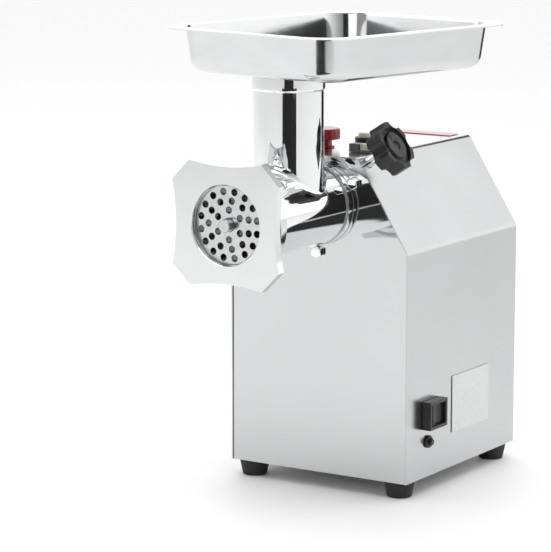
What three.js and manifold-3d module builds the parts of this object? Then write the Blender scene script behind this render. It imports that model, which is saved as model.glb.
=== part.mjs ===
// Counter-top electric meat grinder with a size 12 cutting head.
// Millimetres, +Z up. The object is built with the front panel at Y = 0, the feet on Z = 0 and the
// width centred on X = 0; the last lines move it so that its box is centred over the origin.
import * as THREE from 'three';
import { mergeVertices } from 'three/addons/utils/BufferGeometryUtils.js';
import Module from 'manifold-3d';

const wasm = await Module();
wasm.setup();

// ---- driving dimensions ----------------------------------------------------------------------
const TOUCH_GAP = 0.3;            // between pieces that touch
const RUNNING_GAP = 0.4;          // between pieces that move past each other

// housing
const BODY_WIDTH = 180;
const BODY_DEPTH = 198;
const BODY_HEIGHT = 281;          // bottom edge to the flat top
const SHOULDER_DROP = 79;         // flat top down to the shoulder bend
const TOP_WIDTH = 80;
const COVER_SHEET = 1.2;
const PANEL_SHEET = 1.5;
const PANEL_SETBACK = 1;          // cover edge stands proud of the front and rear panels
const FOOT_HEIGHT = 14.5;
const FOOT_TOP_RADIUS = 13.8;
const FOOT_BOTTOM_RADIUS = 11;
const FOOT_INSET = 15;            // foot centre from the side, front and rear faces
const FOOT_SCREW_RADIUS = 2;
const FOOT_SCREW_HEAD = 4.4;
const VENT_COUNT = 7;
const VENT_PITCH = 11;
const VENT_WIDTH = 3.6;
const VENT_LENGTH = 90;

// grinding head, along Y
const PLATE_RADIUS = 34.8;        // 70 mm plate
const PLATE_THICKNESS = 8;
const PLATE_HOLE = 3;
const PLATE_RINGS = 3;
const PLATE_FIRST_RING = 12.4;
const PLATE_EDGE_MARGIN = 6.8;    // edge of the plate to the outer ring of holes
const PLATE_FIRST_COUNT = 6;
const PLATE_COUNT_STEP = 5;       // more holes in each ring outwards
const NUT_FACE = 145;             // panel to the front face of the ring nut
const NUT_REACH = 7.1;            // flat side of the nut beyond its skirt
const NUT_CORNER = 17;            // leg of the cut corner
const NUT_SIDE_SAG = 3.6;         // hollow of each side
const NUT_PLATE = 8;
const NUT_LIP = 5.6;
const NUT_DEPTH = 25;
const NUT_HOLD = 1.8;             // lip over the edge of the plate
const NUT_SKIRT_WALL = 3.4;
const MOUTH_WALL = 7.2;           // plate edge to the thread
const BARREL_STEP = 5.8;          // plate edge to the barrel bore
const BARREL_WALL = 5.4;
const KNIFE_MARGIN = 1.8;
const KNIFE_THICKNESS = 9;
const KNIFE_SQUARE = 11;
const KNIFE_HUB = 12;
const PIN_RADIUS = 5.5;
const PIN_PROUD = 2;
const AUGER_CORE = 11;
const AUGER_TURNS = 2.6;
const SHANK_RADIUS = 13;
const DRIVE_SQUARE = 13.4;
const TAIL_RADIUS = 27.6;
const TAIL_LENGTH = 20;           // reach of the head into the nose, behind the panel
const LUG_RADIUS = 4.7;
const LUG_RISE = 12.1;            // lug centre above the barrel
const LUG_ANGLE = 42;             // degrees above the +X side
const LUG_BEHIND_NUT = 8;
const LUG_LENGTH = 14;
const LUG_WEB = 5.2;

// feed tube and pan
const TUBE_FROM_PANEL = 47.4;
const TUBE_RADIUS = 30.1;
const TUBE_WALL = 4.6;
const TUBE_ABOVE_BODY = 73.6;     // flat top of the body to the rim of the tube
const COLLAR_RISE = 1.3;
const COLLAR_HEIGHT = 12;
const PAN_WIDTH = 203;            // over the rim, across
const PAN_LENGTH = 242;           // over the rim, front to back
const PAN_CORNER = 31;
const PAN_WALL_CORNER = 29;
const PAN_RIM = 11;
const PAN_DEPTH = 38.5;
const PAN_SHEET = 1;
const PAN_DRAFT = 4;              // wall leans in by this from the rim to the floor
const PAN_FOLD = 10;              // radius between the wall and the floor
const PAN_SPOUT_BACK = 60.6;      // pan centre behind the tube axis
const PAN_TURN = -10.8;           // degrees; the loose pan stands slightly turned
const SPOUT_LENGTH = 22;

// nose, gearbox and motor
const NOSE_WALL = 7.4;
const NOSE_FRONT = 8;             // nose stands in front of the panel
const NECK_BOLT_OUT = 6.3;        // bolt circle outside the nose
const NECK_FLANGE_EDGE = 5.8;     // flange edge outside the bolt circle
const NECK_BOLT_RADIUS = 3;
const NECK_BOLT_HEAD = 5.7;
const NECK_BOLT_HEAD_HEIGHT = 4.6;
const GEARBOX_FRONT = 22;
const GEARBOX_WALL = 2.8;
const GEARBOX_FRONT_WALL = 10;
const GEARBOX_DEPTH = 38;
const GEARBOX_COVER = 8;
const GEARBOX_HEADROOM = 0.475;   // top of the gearbox under the button sleeves
const GEAR_MODULE = 1.75;
const OUTPUT_TEETH = 31;
const CLUSTER_SMALL_TEETH = 13;
const CLUSTER_LARGE_TEETH = 33;
const PINION_TEETH = 12;
const TIP_CLEARANCE = 1.1;        // largest gear to the inside of the case
const OUTPUT_FACE = 12;
const PRIMARY_FACE = 9;
const OUTPUT_NOSE_RADIUS = 15;
const OUTPUT_REAR_RADIUS = 6.5;
const CLUSTER_PIN_RADIUS = 6;
const MOTOR_SHAFT_RADIUS = 7;
const MOTOR_RADIUS = 56;
const MOTOR_WALL = 3;
const MOTOR_LENGTH = 96;
const ROTOR_RADIUS = 32;
const STATOR_LENGTH = 60;
const CAPACITOR = { x: 50, y: 140, radius: 19, length: 62 };

// clamp knob on the right shoulder
const KNOB_FROM_PANEL = 12;
const KNOB_FROM_TOP_BEND = 6.2;     // along the shoulder
const KNOB_LOBES = 6;
const KNOB_MEAN_RADIUS = 20;
const KNOB_LOBE_DEPTH = 2.1;
const KNOB_FACE = 34;             // face of the knob from the shoulder
const KNOB_THICKNESS = 16;
const KNOB_HUB_RADIUS = 9;
const KNOB_HUB_LENGTH = 4.5;
const CLAMP_SCREW_RADIUS = 4.2;
const CLAMP_NUT_RADIUS = 5.9;

// switch, buttons and labels
const SWITCH_FRONT = 27;
const SWITCH_LENGTH = 30;
const SWITCH_LOW = 43.5;
const SWITCH_HEIGHT = 25;
const SWITCH_PROUD = 9;
const SWITCH_TILT = 8;            // degrees each way
const RESET_FROM_PANEL = 37.5;
const RESET_HEIGHT = 31.4;
const STOP_PLACE = [-23.2, 48.1];
const STOP_CAP_RADIUS = 14;
const STOP_COLLAR_RADIUS = 6.8;
const STOP_STEM_RADIUS = 3.2;
const STOP_CAP_HEIGHT = 9.5;
const STOP_FLUTES = 20;
const STOP_SLEEVE_DEPTH = 7.6;
const START_PLACE = [-16, 106];
const START_CAP_RADIUS = 6;
const START_CAP_HEIGHT = 7.6;
const START_COLLAR_HEIGHT = 3.6;
const START_SLEEVE_DEPTH = 10;
const KEY_BLOCK_PLACE = [23, 36];
const KEY_BLOCK_LENGTH = 21;
const KEY_BLOCK_WIDTH = 10;
const KEY_BLOCK_HEIGHT = 7.6;
const KEY_BLOCK_WALL = 1.2;
const SIDE_KEY_LENGTH = 9.4;
const INLET_PLACE = [-45, 36];    // across, and up from the body's bottom edge
const RATING_PLATE = { front: 80, low: 31, length: 67, height: 51, thickness: 0.6 };
const TOP_STRIP = { left: -28, front: 176, length: 60, width: 17, thickness: 0.5 };

// ---- values that follow from them -------------------------------------------------------------
const BODY_LOW = FOOT_HEIGHT;
const BODY_TOP = BODY_LOW + BODY_HEIGHT;
const HALF_WIDTH = BODY_WIDTH / 2;
const HALF_TOP = TOP_WIDTH / 2;
const SIDE_HEIGHT = BODY_HEIGHT - SHOULDER_DROP;
const GEARBOX_INNER = GEAR_MODULE * (CLUSTER_LARGE_TEETH / 2 + 1) + TIP_CLEARANCE;
const GEARBOX_OUTER = GEARBOX_INNER + GEARBOX_WALL;
const DRIVE_Z = BODY_TOP - STOP_SLEEVE_DEPTH - GEARBOX_HEADROOM - GEARBOX_OUTER;
const PANEL_BACK = PANEL_SETBACK + PANEL_SHEET;
const REAR_PANEL = BODY_DEPTH - PANEL_BACK;
const SHOULDER = new THREE.Vector2(HALF_TOP - HALF_WIDTH, BODY_HEIGHT - SIDE_HEIGHT).normalize();
const SHOULDER_NORMAL = new THREE.Vector2(SHOULDER.y, -SHOULDER.x);
const TUBE_TOP = BODY_TOP + TUBE_ABOVE_BODY;
const TUBE_BORE = TUBE_RADIUS - TUBE_WALL;
const COLLAR_RADIUS = TUBE_RADIUS + COLLAR_RISE;
const PAN_FLOOR = TUBE_TOP + TOUCH_GAP;
const THREAD_RADIUS = PLATE_RADIUS + MOUTH_WALL;
const NUT_OPENING = PLATE_RADIUS - NUT_HOLD;
const NUT_SKIRT_RADIUS = THREAD_RADIUS + NUT_SKIRT_WALL;
const NUT_WIDTH = 2 * (NUT_SKIRT_RADIUS + NUT_REACH);
const BARREL_BORE = PLATE_RADIUS - BARREL_STEP;
const BARREL_RADIUS = BARREL_BORE + BARREL_WALL;
const KNIFE_RADIUS = PLATE_RADIUS - KNIFE_MARGIN;
const LUG_REACH = BARREL_RADIUS + LUG_RISE;
const NOSE_BORE = TAIL_RADIUS + RUNNING_GAP;
const NOSE_RADIUS = NOSE_BORE + NOSE_WALL;
const NECK_BOLT_CIRCLE = NOSE_RADIUS + NECK_BOLT_OUT;
const NECK_FLANGE_RADIUS = NECK_BOLT_CIRCLE + NECK_FLANGE_EDGE;
const PLATE_FRONT = -NUT_FACE + NUT_LIP + TOUCH_GAP;
const PLATE_BACK = PLATE_FRONT + PLATE_THICKNESS;
const KNIFE_FRONT = PLATE_BACK + TOUCH_GAP;
const KNIFE_BACK = KNIFE_FRONT + KNIFE_THICKNESS;
const HEAD_FRONT = PLATE_FRONT + PLATE_THICKNESS * 0.6;
const HEAD_BACK = -NOSE_FRONT - TOUCH_GAP;
const REAR_WALL_FRONT = HEAD_BACK - 14;
const WASHER_THICKNESS = 3;
const AUGER_BACK = REAR_WALL_FRONT - WASHER_THICKNESS - 2 * TOUCH_GAP;
const CLUSTER_PITCH = GEAR_MODULE * CLUSTER_SMALL_TEETH / 2;
const CLUSTER_Z = DRIVE_Z - GEAR_MODULE * OUTPUT_TEETH / 2 - CLUSTER_PITCH;
const MOTOR_Z = CLUSTER_Z - GEAR_MODULE * (CLUSTER_LARGE_TEETH + PINION_TEETH) / 2;
const GEARBOX_CAVITY = GEARBOX_FRONT + GEARBOX_FRONT_WALL;
const GEARBOX_BACK = GEARBOX_FRONT + GEARBOX_DEPTH;
const COVER_FRONT = GEARBOX_BACK + TOUCH_GAP;
const COVER_BACK = COVER_FRONT + GEARBOX_COVER;
const OUTPUT_GEAR_FRONT = GEARBOX_CAVITY + 2;
const PRIMARY_FRONT = OUTPUT_GEAR_FRONT + OUTPUT_FACE + 3;
const MOTOR_FRONT = COVER_BACK + TOUCH_GAP;
const MOTOR_BACK = MOTOR_FRONT + MOTOR_LENGTH;
const NECK_BOLT_ANGLES = [-90, 30, 150];
const NECK_BOLT_END = GEARBOX_FRONT + 2;

// ---- building helpers -------------------------------------------------------------------------
const radians = THREE.MathUtils.degToRad;

// Merge shared vertices, drop collapsed triangles and give a closed triangle list.
function closedMesh(geometry) {
  const bare = geometry.clone();
  bare.deleteAttribute('normal');
  bare.deleteAttribute('uv');
  const merged = mergeVertices(bare, 1e-4);
  const index = merged.index.array;
  const kept = [];
  for (let i = 0; i < index.length; i += 3) {
    const [a, b, c] = [index[i], index[i + 1], index[i + 2]];
    if (a !== b && b !== c && c !== a) kept.push(a, b, c);
  }
  return { points: new Float32Array(merged.attributes.position.array), triangles: kept };
}

function signedVolume({ points, triangles }) {
  const corner = (i) => new THREE.Vector3().fromArray(points, 3 * i);
  let volume = 0;
  for (let i = 0; i < triangles.length; i += 3) {
    const [a, b, c] = [0, 1, 2].map((k) => corner(triangles[i + k]));
    volume += a.dot(b.cross(c)) / 6;
  }
  return volume;
}

function solidOf(geometry) {
  const mesh = closedMesh(geometry);
  if (signedVolume(mesh) < 0) mesh.triangles.reverse();
  const triVerts = new Uint32Array(mesh.triangles);
  return new wasm.Manifold(new wasm.Mesh({ numProp: 3, vertProperties: mesh.points, triVerts }));
}

function geometryOf(solid) {
  const mesh = solid.getMesh();
  const geometry = new THREE.BufferGeometry();
  geometry.setAttribute('position', new THREE.BufferAttribute(mesh.vertProperties, 3));
  geometry.setIndex(new THREE.BufferAttribute(mesh.triVerts, 1));
  return geometry;
}

function join(...geometries) {
  const [first, ...others] = geometries.map(solidOf);
  return geometryOf(others.reduce((whole, piece) => whole.add(piece), first));
}

function cut(geometry, ...tools) {
  return geometryOf(tools.map(solidOf).reduce((whole, tool) => whole.subtract(tool), solidOf(geometry)));
}

function common(geometry, other) {
  return geometryOf(solidOf(geometry).intersect(solidOf(other)));
}

function extrude(shape, depth, curveSegments = 6) {
  return new THREE.ExtrudeGeometry(shape, { depth, bevelEnabled: false, curveSegments });
}

// A shape drawn across X and up Z, filled from front to back.
function slabAlongY(shape, front, back, curveSegments) {
  return extrude(shape, back - front, curveSegments).rotateX(Math.PI / 2).translate(0, back, 0);
}

function slabUp(shape, low, high, curveSegments) {
  return extrude(shape, high - low, curveSegments).translate(0, 0, low);
}

function box(x, y, z) {
  const [low, high] = [[x[0], y[0], z[0]], [x[1], y[1], z[1]]].map((p) => new THREE.Vector3(...p));
  const size = high.clone().sub(low);
  const middle = low.add(high).multiplyScalar(0.5);
  return new THREE.BoxGeometry(size.x, size.y, size.z).translate(middle.x, middle.y, middle.z);
}

function rodY(radius, front, back, x = 0, z = DRIVE_Z, sides = 20) {
  const rod = new THREE.CylinderGeometry(radius, radius, back - front, sides);
  return rod.translate(x, (front + back) / 2, z);
}

function rodUp(radius, low, high, x, y, sides = 20, topRadius = radius) {
  const rod = new THREE.CylinderGeometry(topRadius, radius, high - low, sides);
  return rod.rotateX(Math.PI / 2).translate(x, y, (low + high) / 2);
}

function rodX(radius, left, right, y, z, sides = 20) {
  const rod = new THREE.CylinderGeometry(radius, radius, right - left, sides);
  return rod.rotateZ(Math.PI / 2).translate((left + right) / 2, y, z);
}

// Turned shape about an axis along Y; the profile is a closed list of [radius, y].
function turned(profile, x = 0, z = DRIVE_Z, sides = 24) {
  const points = profile.map(([radius, y]) => new THREE.Vector2(radius, y));
  return new THREE.LatheGeometry(points, sides).translate(x, 0, z);
}

function ringY(outer, inner, front, back, x = 0, z = DRIVE_Z, sides = 20) {
  const section = [[inner, front], [outer, front], [outer, back], [inner, back], [inner, front]];
  return turned(section, x, z, sides);
}

function polygon(points) {
  return new THREE.Shape(points.map(([x, y]) => new THREE.Vector2(x, y)));
}

function roundedRectangle(width, height, radius) {
  const [w, h] = [width / 2, height / 2];
  const shape = new THREE.Shape();
  shape.moveTo(-w + radius, -h);
  shape.lineTo(w - radius, -h);
  shape.absarc(w - radius, -h + radius, radius, -Math.PI / 2, 0);
  shape.lineTo(w, h - radius);
  shape.absarc(w - radius, h - radius, radius, 0, Math.PI / 2);
  shape.lineTo(-w + radius, h);
  shape.absarc(-w + radius, h - radius, radius, Math.PI / 2, Math.PI);
  shape.lineTo(-w, -h + radius);
  shape.absarc(-w + radius, -h + radius, radius, Math.PI, Math.PI * 1.5);
  return shape;
}

function hexagon(cornerRadius) {
  const corners = [0, 1, 2, 3, 4, 5].map((i) => radians(60 * i + 30));
  return polygon(corners.map((a) => [cornerRadius * Math.cos(a), cornerRadius * Math.sin(a)]));
}

// Involute spur gear outline with a tooth centred on the phase angle (degrees from +X).
function gearOutline(teeth, phase) {
  const pressure = radians(20);
  const backlash = 0.45;
  const involute = (angle) => Math.tan(angle) - angle;
  const pitch = GEAR_MODULE * teeth / 2;
  const base = pitch * Math.cos(pressure);
  const tip = pitch + 0.85 * GEAR_MODULE;
  const root = pitch - 1.2 * GEAR_MODULE;
  const halfTooth = (radius) => {
    const angle = radius > base ? Math.acos(base / radius) : 0;
    return Math.PI / (2 * teeth) + involute(pressure) - involute(angle) - backlash / (2 * pitch);
  };
  const flank = [root, pitch, tip];
  const points = [];
  for (let i = 0; i < teeth; i += 1) {
    const centre = radians(phase) + 2 * Math.PI * i / teeth;
    const polar = (radius, angle) => [radius * Math.cos(angle), radius * Math.sin(angle)];
    for (const radius of flank) points.push(polar(radius, centre - halfTooth(radius)));
    for (const radius of [...flank].reverse()) points.push(polar(radius, centre + halfTooth(radius)));
  }
  return polygon(points);
}

const machine = new THREE.Group();

const STEEL = { color: 0xd9dadb, roughness: 0.18, metalness: 1 };
const MIRROR = { color: 0xe4e5e6, roughness: 0.06, metalness: 1 };
const CAST = { color: 0xaaadaf, roughness: 0.5, metalness: 1 };
const DARK_STEEL = { color: 0x6e7175, roughness: 0.4, metalness: 1 };
const BLACK_PLASTIC = { color: 0x18191b, roughness: 0.45, metalness: 0 };
const RUBBER = { color: 0x1b1b1c, roughness: 0.85, metalness: 0 };
const RED_PLASTIC = { color: 0xb0101c, roughness: 0.35, metalness: 0 };
const CREAM_PLASTIC = { color: 0xe6e2cf, roughness: 0.4, metalness: 0 };
const COPPER = { color: 0xa65a30, roughness: 0.45, metalness: 1 };
const BRONZE = { color: 0xa8824a, roughness: 0.35, metalness: 1 };

function place(name, geometry, finish, parent = machine) {
  const mesh = new THREE.Mesh(geometryOf(solidOf(geometry)), new THREE.MeshStandardMaterial(finish));
  mesh.name = name;
  parent.add(mesh);
  return mesh;
}

// ---- housing ----------------------------------------------------------------------------------

// Right half of the body outline, moved in by the inset: side foot, shoulder bend, top bend.
function halfOutline(inset) {
  const bend = new THREE.Vector2(HALF_WIDTH, SIDE_HEIGHT);
  const offset = SHOULDER_NORMAL.dot(bend) - inset;
  const side = HALF_WIDTH - inset;
  const top = BODY_HEIGHT - inset;
  const bendHeight = (offset - SHOULDER_NORMAL.x * side) / SHOULDER_NORMAL.y;
  const topReach = (offset - SHOULDER_NORMAL.y * top) / SHOULDER_NORMAL.x;
  return [[side, 0], [side, bendHeight], [topReach, top]].map(([x, z]) => [x, z + BODY_LOW]);
}

function mirrored(points) {
  return points.map(([x, z]) => [-x, z]).reverse();
}

// A point on the outer shoulder face, and the knob axis that stands on it.
const TOP_BEND = new THREE.Vector2(HALF_TOP, BODY_TOP);
const KNOB_BASE = TOP_BEND.clone().addScaledVector(SHOULDER, -KNOB_FROM_TOP_BEND);
const KNOB_TURN = new THREE.Quaternion().setFromUnitVectors(
  new THREE.Vector3(0, 0, 1),
  new THREE.Vector3(SHOULDER_NORMAL.x, 0, SHOULDER_NORMAL.y),
);

// Moves a geometry drawn along +Z from the shoulder face to the knob axis.
function onShoulder(geometry) {
  return geometry.applyQuaternion(KNOB_TURN).translate(KNOB_BASE.x, KNOB_FROM_PANEL, KNOB_BASE.y);
}

// The screw ends just short of the tail of the head; its own width is allowed for where it meets
// the tail beside the middle.
const CLAMP_REACH = (() => {
  const across = KNOB_BASE.clone().sub(new THREE.Vector2(0, DRIVE_Z));
  const off = Math.max(0, Math.abs(across.dot(SHOULDER)) - CLAMP_SCREW_RADIUS);
  return across.dot(SHOULDER_NORMAL) - Math.sqrt(TAIL_RADIUS ** 2 - off ** 2) - 2 * TOUCH_GAP - 1;
})();
const CLAMP_NUT_TOP = -COVER_SHEET - TOUCH_GAP;
const CLAMP_NUT_HEIGHT = 6;

const clampScrewHole = () => (
  onShoulder(rodUp(CLAMP_SCREW_RADIUS + RUNNING_GAP, -CLAMP_REACH - 5, 6, 0, 0, 16))
);
const clampNutRoom = () => onShoulder(
  rodUp(CLAMP_NUT_RADIUS + TOUCH_GAP, CLAMP_NUT_TOP - CLAMP_NUT_HEIGHT - TOUCH_GAP, 6, 0, 0, 16),
);

// Openings in the cover for what is mounted on it.
const SWITCH_MARGIN = 2;
const switchCutout = (gap) => box(
  [HALF_WIDTH - 20 - gap, HALF_WIDTH + 4],
  [SWITCH_FRONT + SWITCH_MARGIN - gap, SWITCH_FRONT + SWITCH_LENGTH - SWITCH_MARGIN + gap],
  [BODY_LOW + SWITCH_LOW + SWITCH_MARGIN - gap,
    BODY_LOW + SWITCH_LOW + SWITCH_HEIGHT - SWITCH_MARGIN + gap],
);
const RESET_SLEEVE = 4.6;
const RESET_Z = BODY_LOW + RESET_HEIGHT;
const START_SLEEVE = START_CAP_RADIUS + RUNNING_GAP + 1.4;

// Box on the top face, between two distances from the left end of the key block.
function keyBlockBox(left, right, margin, low, high) {
  const [x, y] = KEY_BLOCK_PLACE;
  const start = x - KEY_BLOCK_LENGTH / 2;
  const half = KEY_BLOCK_WIDTH / 2 - margin;
  return box([start + left, start + right], [y - half, y + half], [BODY_TOP + low, BODY_TOP + high]);
}

const KEY_LEFT = KEY_BLOCK_LENGTH - KEY_BLOCK_WALL - RUNNING_GAP - SIDE_KEY_LENGTH;
const KEY_SOCKET_DEPTH = 5;
const KEY_RIM_HEIGHT = 2.4;
const keyCutout = (gap) => keyBlockBox(
  KEY_LEFT - RUNNING_GAP - KEY_BLOCK_WALL + TOUCH_GAP - gap,
  KEY_BLOCK_LENGTH - TOUCH_GAP + gap,
  TOUCH_GAP - gap,
  -KEY_SOCKET_DEPTH - KEY_BLOCK_WALL,
  TOUCH_GAP + 1,
);

function housingCover() {
  const outer = halfOutline(0);
  const inner = halfOutline(COVER_SHEET);
  const inside = [...inner, ...mirrored(inner)].reverse();
  const arch = polygon([...outer, ...mirrored(outer), ...inside]);
  return cut(
    slabAlongY(arch, 0, BODY_DEPTH),
    clampScrewHole(),
    switchCutout(TOUCH_GAP),
    rodX(RESET_SLEEVE + TOUCH_GAP, HALF_WIDTH - 4, HALF_WIDTH + 4, RESET_FROM_PANEL, RESET_Z),
    rodUp(STOP_COLLAR_RADIUS + TOUCH_GAP, BODY_TOP - 4, BODY_TOP + 4, ...STOP_PLACE),
    rodUp(START_SLEEVE + TOUCH_GAP, BODY_TOP - 4, BODY_TOP + 4, ...START_PLACE),
    keyCutout(TOUCH_GAP),
  );
}

function panelBlank(front) {
  const half = halfOutline(COVER_SHEET + TOUCH_GAP);
  return slabAlongY(polygon([...half, ...mirrored(half)]), front, front + PANEL_SHEET);
}

const neckBoltPlace = (angle) => [
  NECK_BOLT_CIRCLE * Math.cos(radians(angle)),
  DRIVE_Z + NECK_BOLT_CIRCLE * Math.sin(radians(angle)),
];

function frontPanel() {
  const bolts = NECK_BOLT_ANGLES.map((angle) => {
    const [x, z] = neckBoltPlace(angle);
    return rodY(NECK_BOLT_RADIUS + TOUCH_GAP, -5, 10, x, z, 16);
  });
  return cut(panelBlank(PANEL_SETBACK), rodY(NOSE_RADIUS + TOUCH_GAP, -5, 10, 0, DRIVE_Z, 48), ...bolts);
}

const INLET_BODY = [27, 20];
const INLET_FLANGE = [34, 27];

function rearPanel() {
  const [x, z] = [INLET_PLACE[0], BODY_LOW + INLET_PLACE[1]];
  const [w, h] = INLET_BODY.map((size) => size / 2 + TOUCH_GAP);
  const opening = box([x - w, x + w], [REAR_PANEL - 5, BODY_DEPTH + 5], [z - h, z + h]);
  const slots = Array.from({ length: VENT_COUNT }, (_, i) => {
    const low = MOTOR_Z - VENT_PITCH * (VENT_COUNT - 1) / 2 + VENT_PITCH * i;
    const across = [-VENT_LENGTH / 2, VENT_LENGTH / 2];
    return box(across, [REAR_PANEL - 5, BODY_DEPTH + 5], [low - VENT_WIDTH / 2, low + VENT_WIDTH / 2]);
  });
  return cut(panelBlank(REAR_PANEL), opening, ...slots);
}

const footCentres = {
  front_left: [-HALF_WIDTH + FOOT_INSET, FOOT_INSET],
  front_right: [HALF_WIDTH - FOOT_INSET, FOOT_INSET],
  rear_left: [-HALF_WIDTH + FOOT_INSET, BODY_DEPTH - FOOT_INSET],
  rear_right: [HALF_WIDTH - FOOT_INSET, BODY_DEPTH - FOOT_INSET],
};

function basePlate() {
  const reach = HALF_WIDTH - COVER_SHEET - TOUCH_GAP;
  const along = [PANEL_BACK + TOUCH_GAP, REAR_PANEL - TOUCH_GAP];
  const holes = Object.values(footCentres).map(([x, y]) => (
    rodUp(FOOT_SCREW_RADIUS + TOUCH_GAP, BODY_LOW - 5, BODY_LOW + 5, x, y, 12)
  ));
  return cut(box([-reach, reach], along, [BODY_LOW, BODY_LOW + PANEL_SHEET]), ...holes);
}

const FOOT_COUNTERBORE = 6;

function foot([x, y]) {
  const high = BODY_LOW - TOUCH_GAP;
  return cut(
    rodUp(FOOT_BOTTOM_RADIUS, 0, high, x, y, 28, FOOT_TOP_RADIUS),
    rodUp(FOOT_SCREW_HEAD + TOUCH_GAP, -1, FOOT_COUNTERBORE, x, y, 16),
    rodUp(FOOT_SCREW_RADIUS + TOUCH_GAP, -1, high + 1, x, y, 12),
  );
}

function footScrew([x, y]) {
  const headTop = FOOT_COUNTERBORE - TOUCH_GAP;
  return join(
    rodUp(FOOT_SCREW_HEAD, headTop - 3, headTop, x, y, 16),
    rodUp(FOOT_SCREW_RADIUS, headTop - 1, BODY_LOW + 7, x, y, 12),
  );
}

function buildHousing() {
  place('housing_cover', housingCover(), STEEL);
  place('front_panel', frontPanel(), MIRROR);
  place('rear_panel', rearPanel(), STEEL);
  place('base_plate', basePlate(), STEEL);
  for (const [corner, centre] of Object.entries(footCentres)) {
    place(`foot_${corner}`, foot(centre), RUBBER);
    place(`foot_screw_${corner}`, footScrew(centre), DARK_STEEL);
  }
}

// ---- grinding head ----------------------------------------------------------------------------

function headCasting() {
  const outer = turned([
    [0, HEAD_FRONT],
    [THREAD_RADIUS, HEAD_FRONT],
    [THREAD_RADIUS, -NUT_FACE + NUT_DEPTH],
    [BARREL_RADIUS + 1, -NUT_FACE + NUT_DEPTH + 10],
    [BARREL_RADIUS, HEAD_BACK],
    [TAIL_RADIUS, HEAD_BACK],
    [TAIL_RADIUS, TAIL_LENGTH],
    [0, TAIL_LENGTH],
  ], 0, DRIVE_Z, 32);
  const tube = rodUp(TUBE_RADIUS + 0.9, DRIVE_Z, TUBE_TOP - 1, 0, -TUBE_FROM_PANEL, 32, TUBE_RADIUS);
  const collar = rodUp(COLLAR_RADIUS, TUBE_TOP - COLLAR_HEIGHT, TUBE_TOP, 0, -TUBE_FROM_PANEL, 32);
  const lugFront = -NUT_FACE + NUT_DEPTH + LUG_BEHIND_NUT;
  const lugBack = lugFront + LUG_LENGTH;
  const lug = rodY(LUG_RADIUS, lugFront, lugBack, LUG_REACH, 0, 20);
  const web = box([BARREL_RADIUS - 3, LUG_REACH], [lugFront, lugBack], [-LUG_WEB / 2, LUG_WEB / 2]);
  const boss = join(lug, web).rotateY(-radians(LUG_ANGLE)).translate(0, 0, DRIVE_Z);
  const bores = turned([
    [0, HEAD_FRONT - 1],
    [PLATE_RADIUS + TOUCH_GAP, HEAD_FRONT - 1],
    [PLATE_RADIUS + TOUCH_GAP, KNIFE_BACK + RUNNING_GAP],
    [BARREL_BORE, KNIFE_BACK + RUNNING_GAP],
    [BARREL_BORE, REAR_WALL_FRONT],
    [SHANK_RADIUS + RUNNING_GAP, REAR_WALL_FRONT],
    [SHANK_RADIUS + RUNNING_GAP, HEAD_BACK],
    [OUTPUT_NOSE_RADIUS + 2, HEAD_BACK],
    [OUTPUT_NOSE_RADIUS + 2, TAIL_LENGTH + 1],
    [0, TAIL_LENGTH + 1],
  ], 0, DRIVE_Z, 32);
  const tubeBore = rodUp(TUBE_BORE, DRIVE_Z, TUBE_TOP + 1, 0, -TUBE_FROM_PANEL, 32);
  const keyEnds = [HEAD_FRONT - 1, KEY_BACK + TOUCH_GAP];
  const keyHole = rodY(KEY_RADIUS + TOUCH_GAP, ...keyEnds, KEY_REACH, DRIVE_Z, 12);
  return cut(join(outer, tube, collar, boss), bores, tubeBore, keyHole);
}

// Small pin in the mouth of the head that keeps the plate from turning.
const KEY_RADIUS = 1.6;
const KEY_REACH = PLATE_RADIUS + 1;
const KEY_FRONT = PLATE_FRONT + 2.5;
const KEY_BACK = HEAD_FRONT + 5;

function grindingPlate() {
  const holes = [];
  const pitch = (PLATE_RADIUS - PLATE_EDGE_MARGIN - PLATE_FIRST_RING) / (PLATE_RINGS - 1);
  for (let ring = 0; ring < PLATE_RINGS; ring += 1) {
    const radius = PLATE_FIRST_RING + ring * pitch;
    const count = PLATE_FIRST_COUNT + ring * PLATE_COUNT_STEP;
    for (let i = 0; i < count; i += 1) {
      const angle = 2 * Math.PI * (i + 0.5) / count;
      const [x, z] = [radius * Math.cos(angle), DRIVE_Z + radius * Math.sin(angle)];
      holes.push(rodY(PLATE_HOLE, PLATE_FRONT - 1, PLATE_BACK + 1, x, z, 8));
    }
  }
  const notch = KEY_RADIUS + TOUCH_GAP;
  return cut(
    rodY(PLATE_RADIUS, PLATE_FRONT, PLATE_BACK, 0, DRIVE_Z, 36),
    rodY(PIN_RADIUS + RUNNING_GAP, PLATE_FRONT - 1, PLATE_BACK + 1, 0, DRIVE_Z, 16),
    box([KEY_REACH - notch, PLATE_RADIUS + 2], [PLATE_FRONT - 1, PLATE_BACK + 1],
      [DRIVE_Z - notch, DRIVE_Z + notch]),
    ...holes,
  );
}

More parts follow.
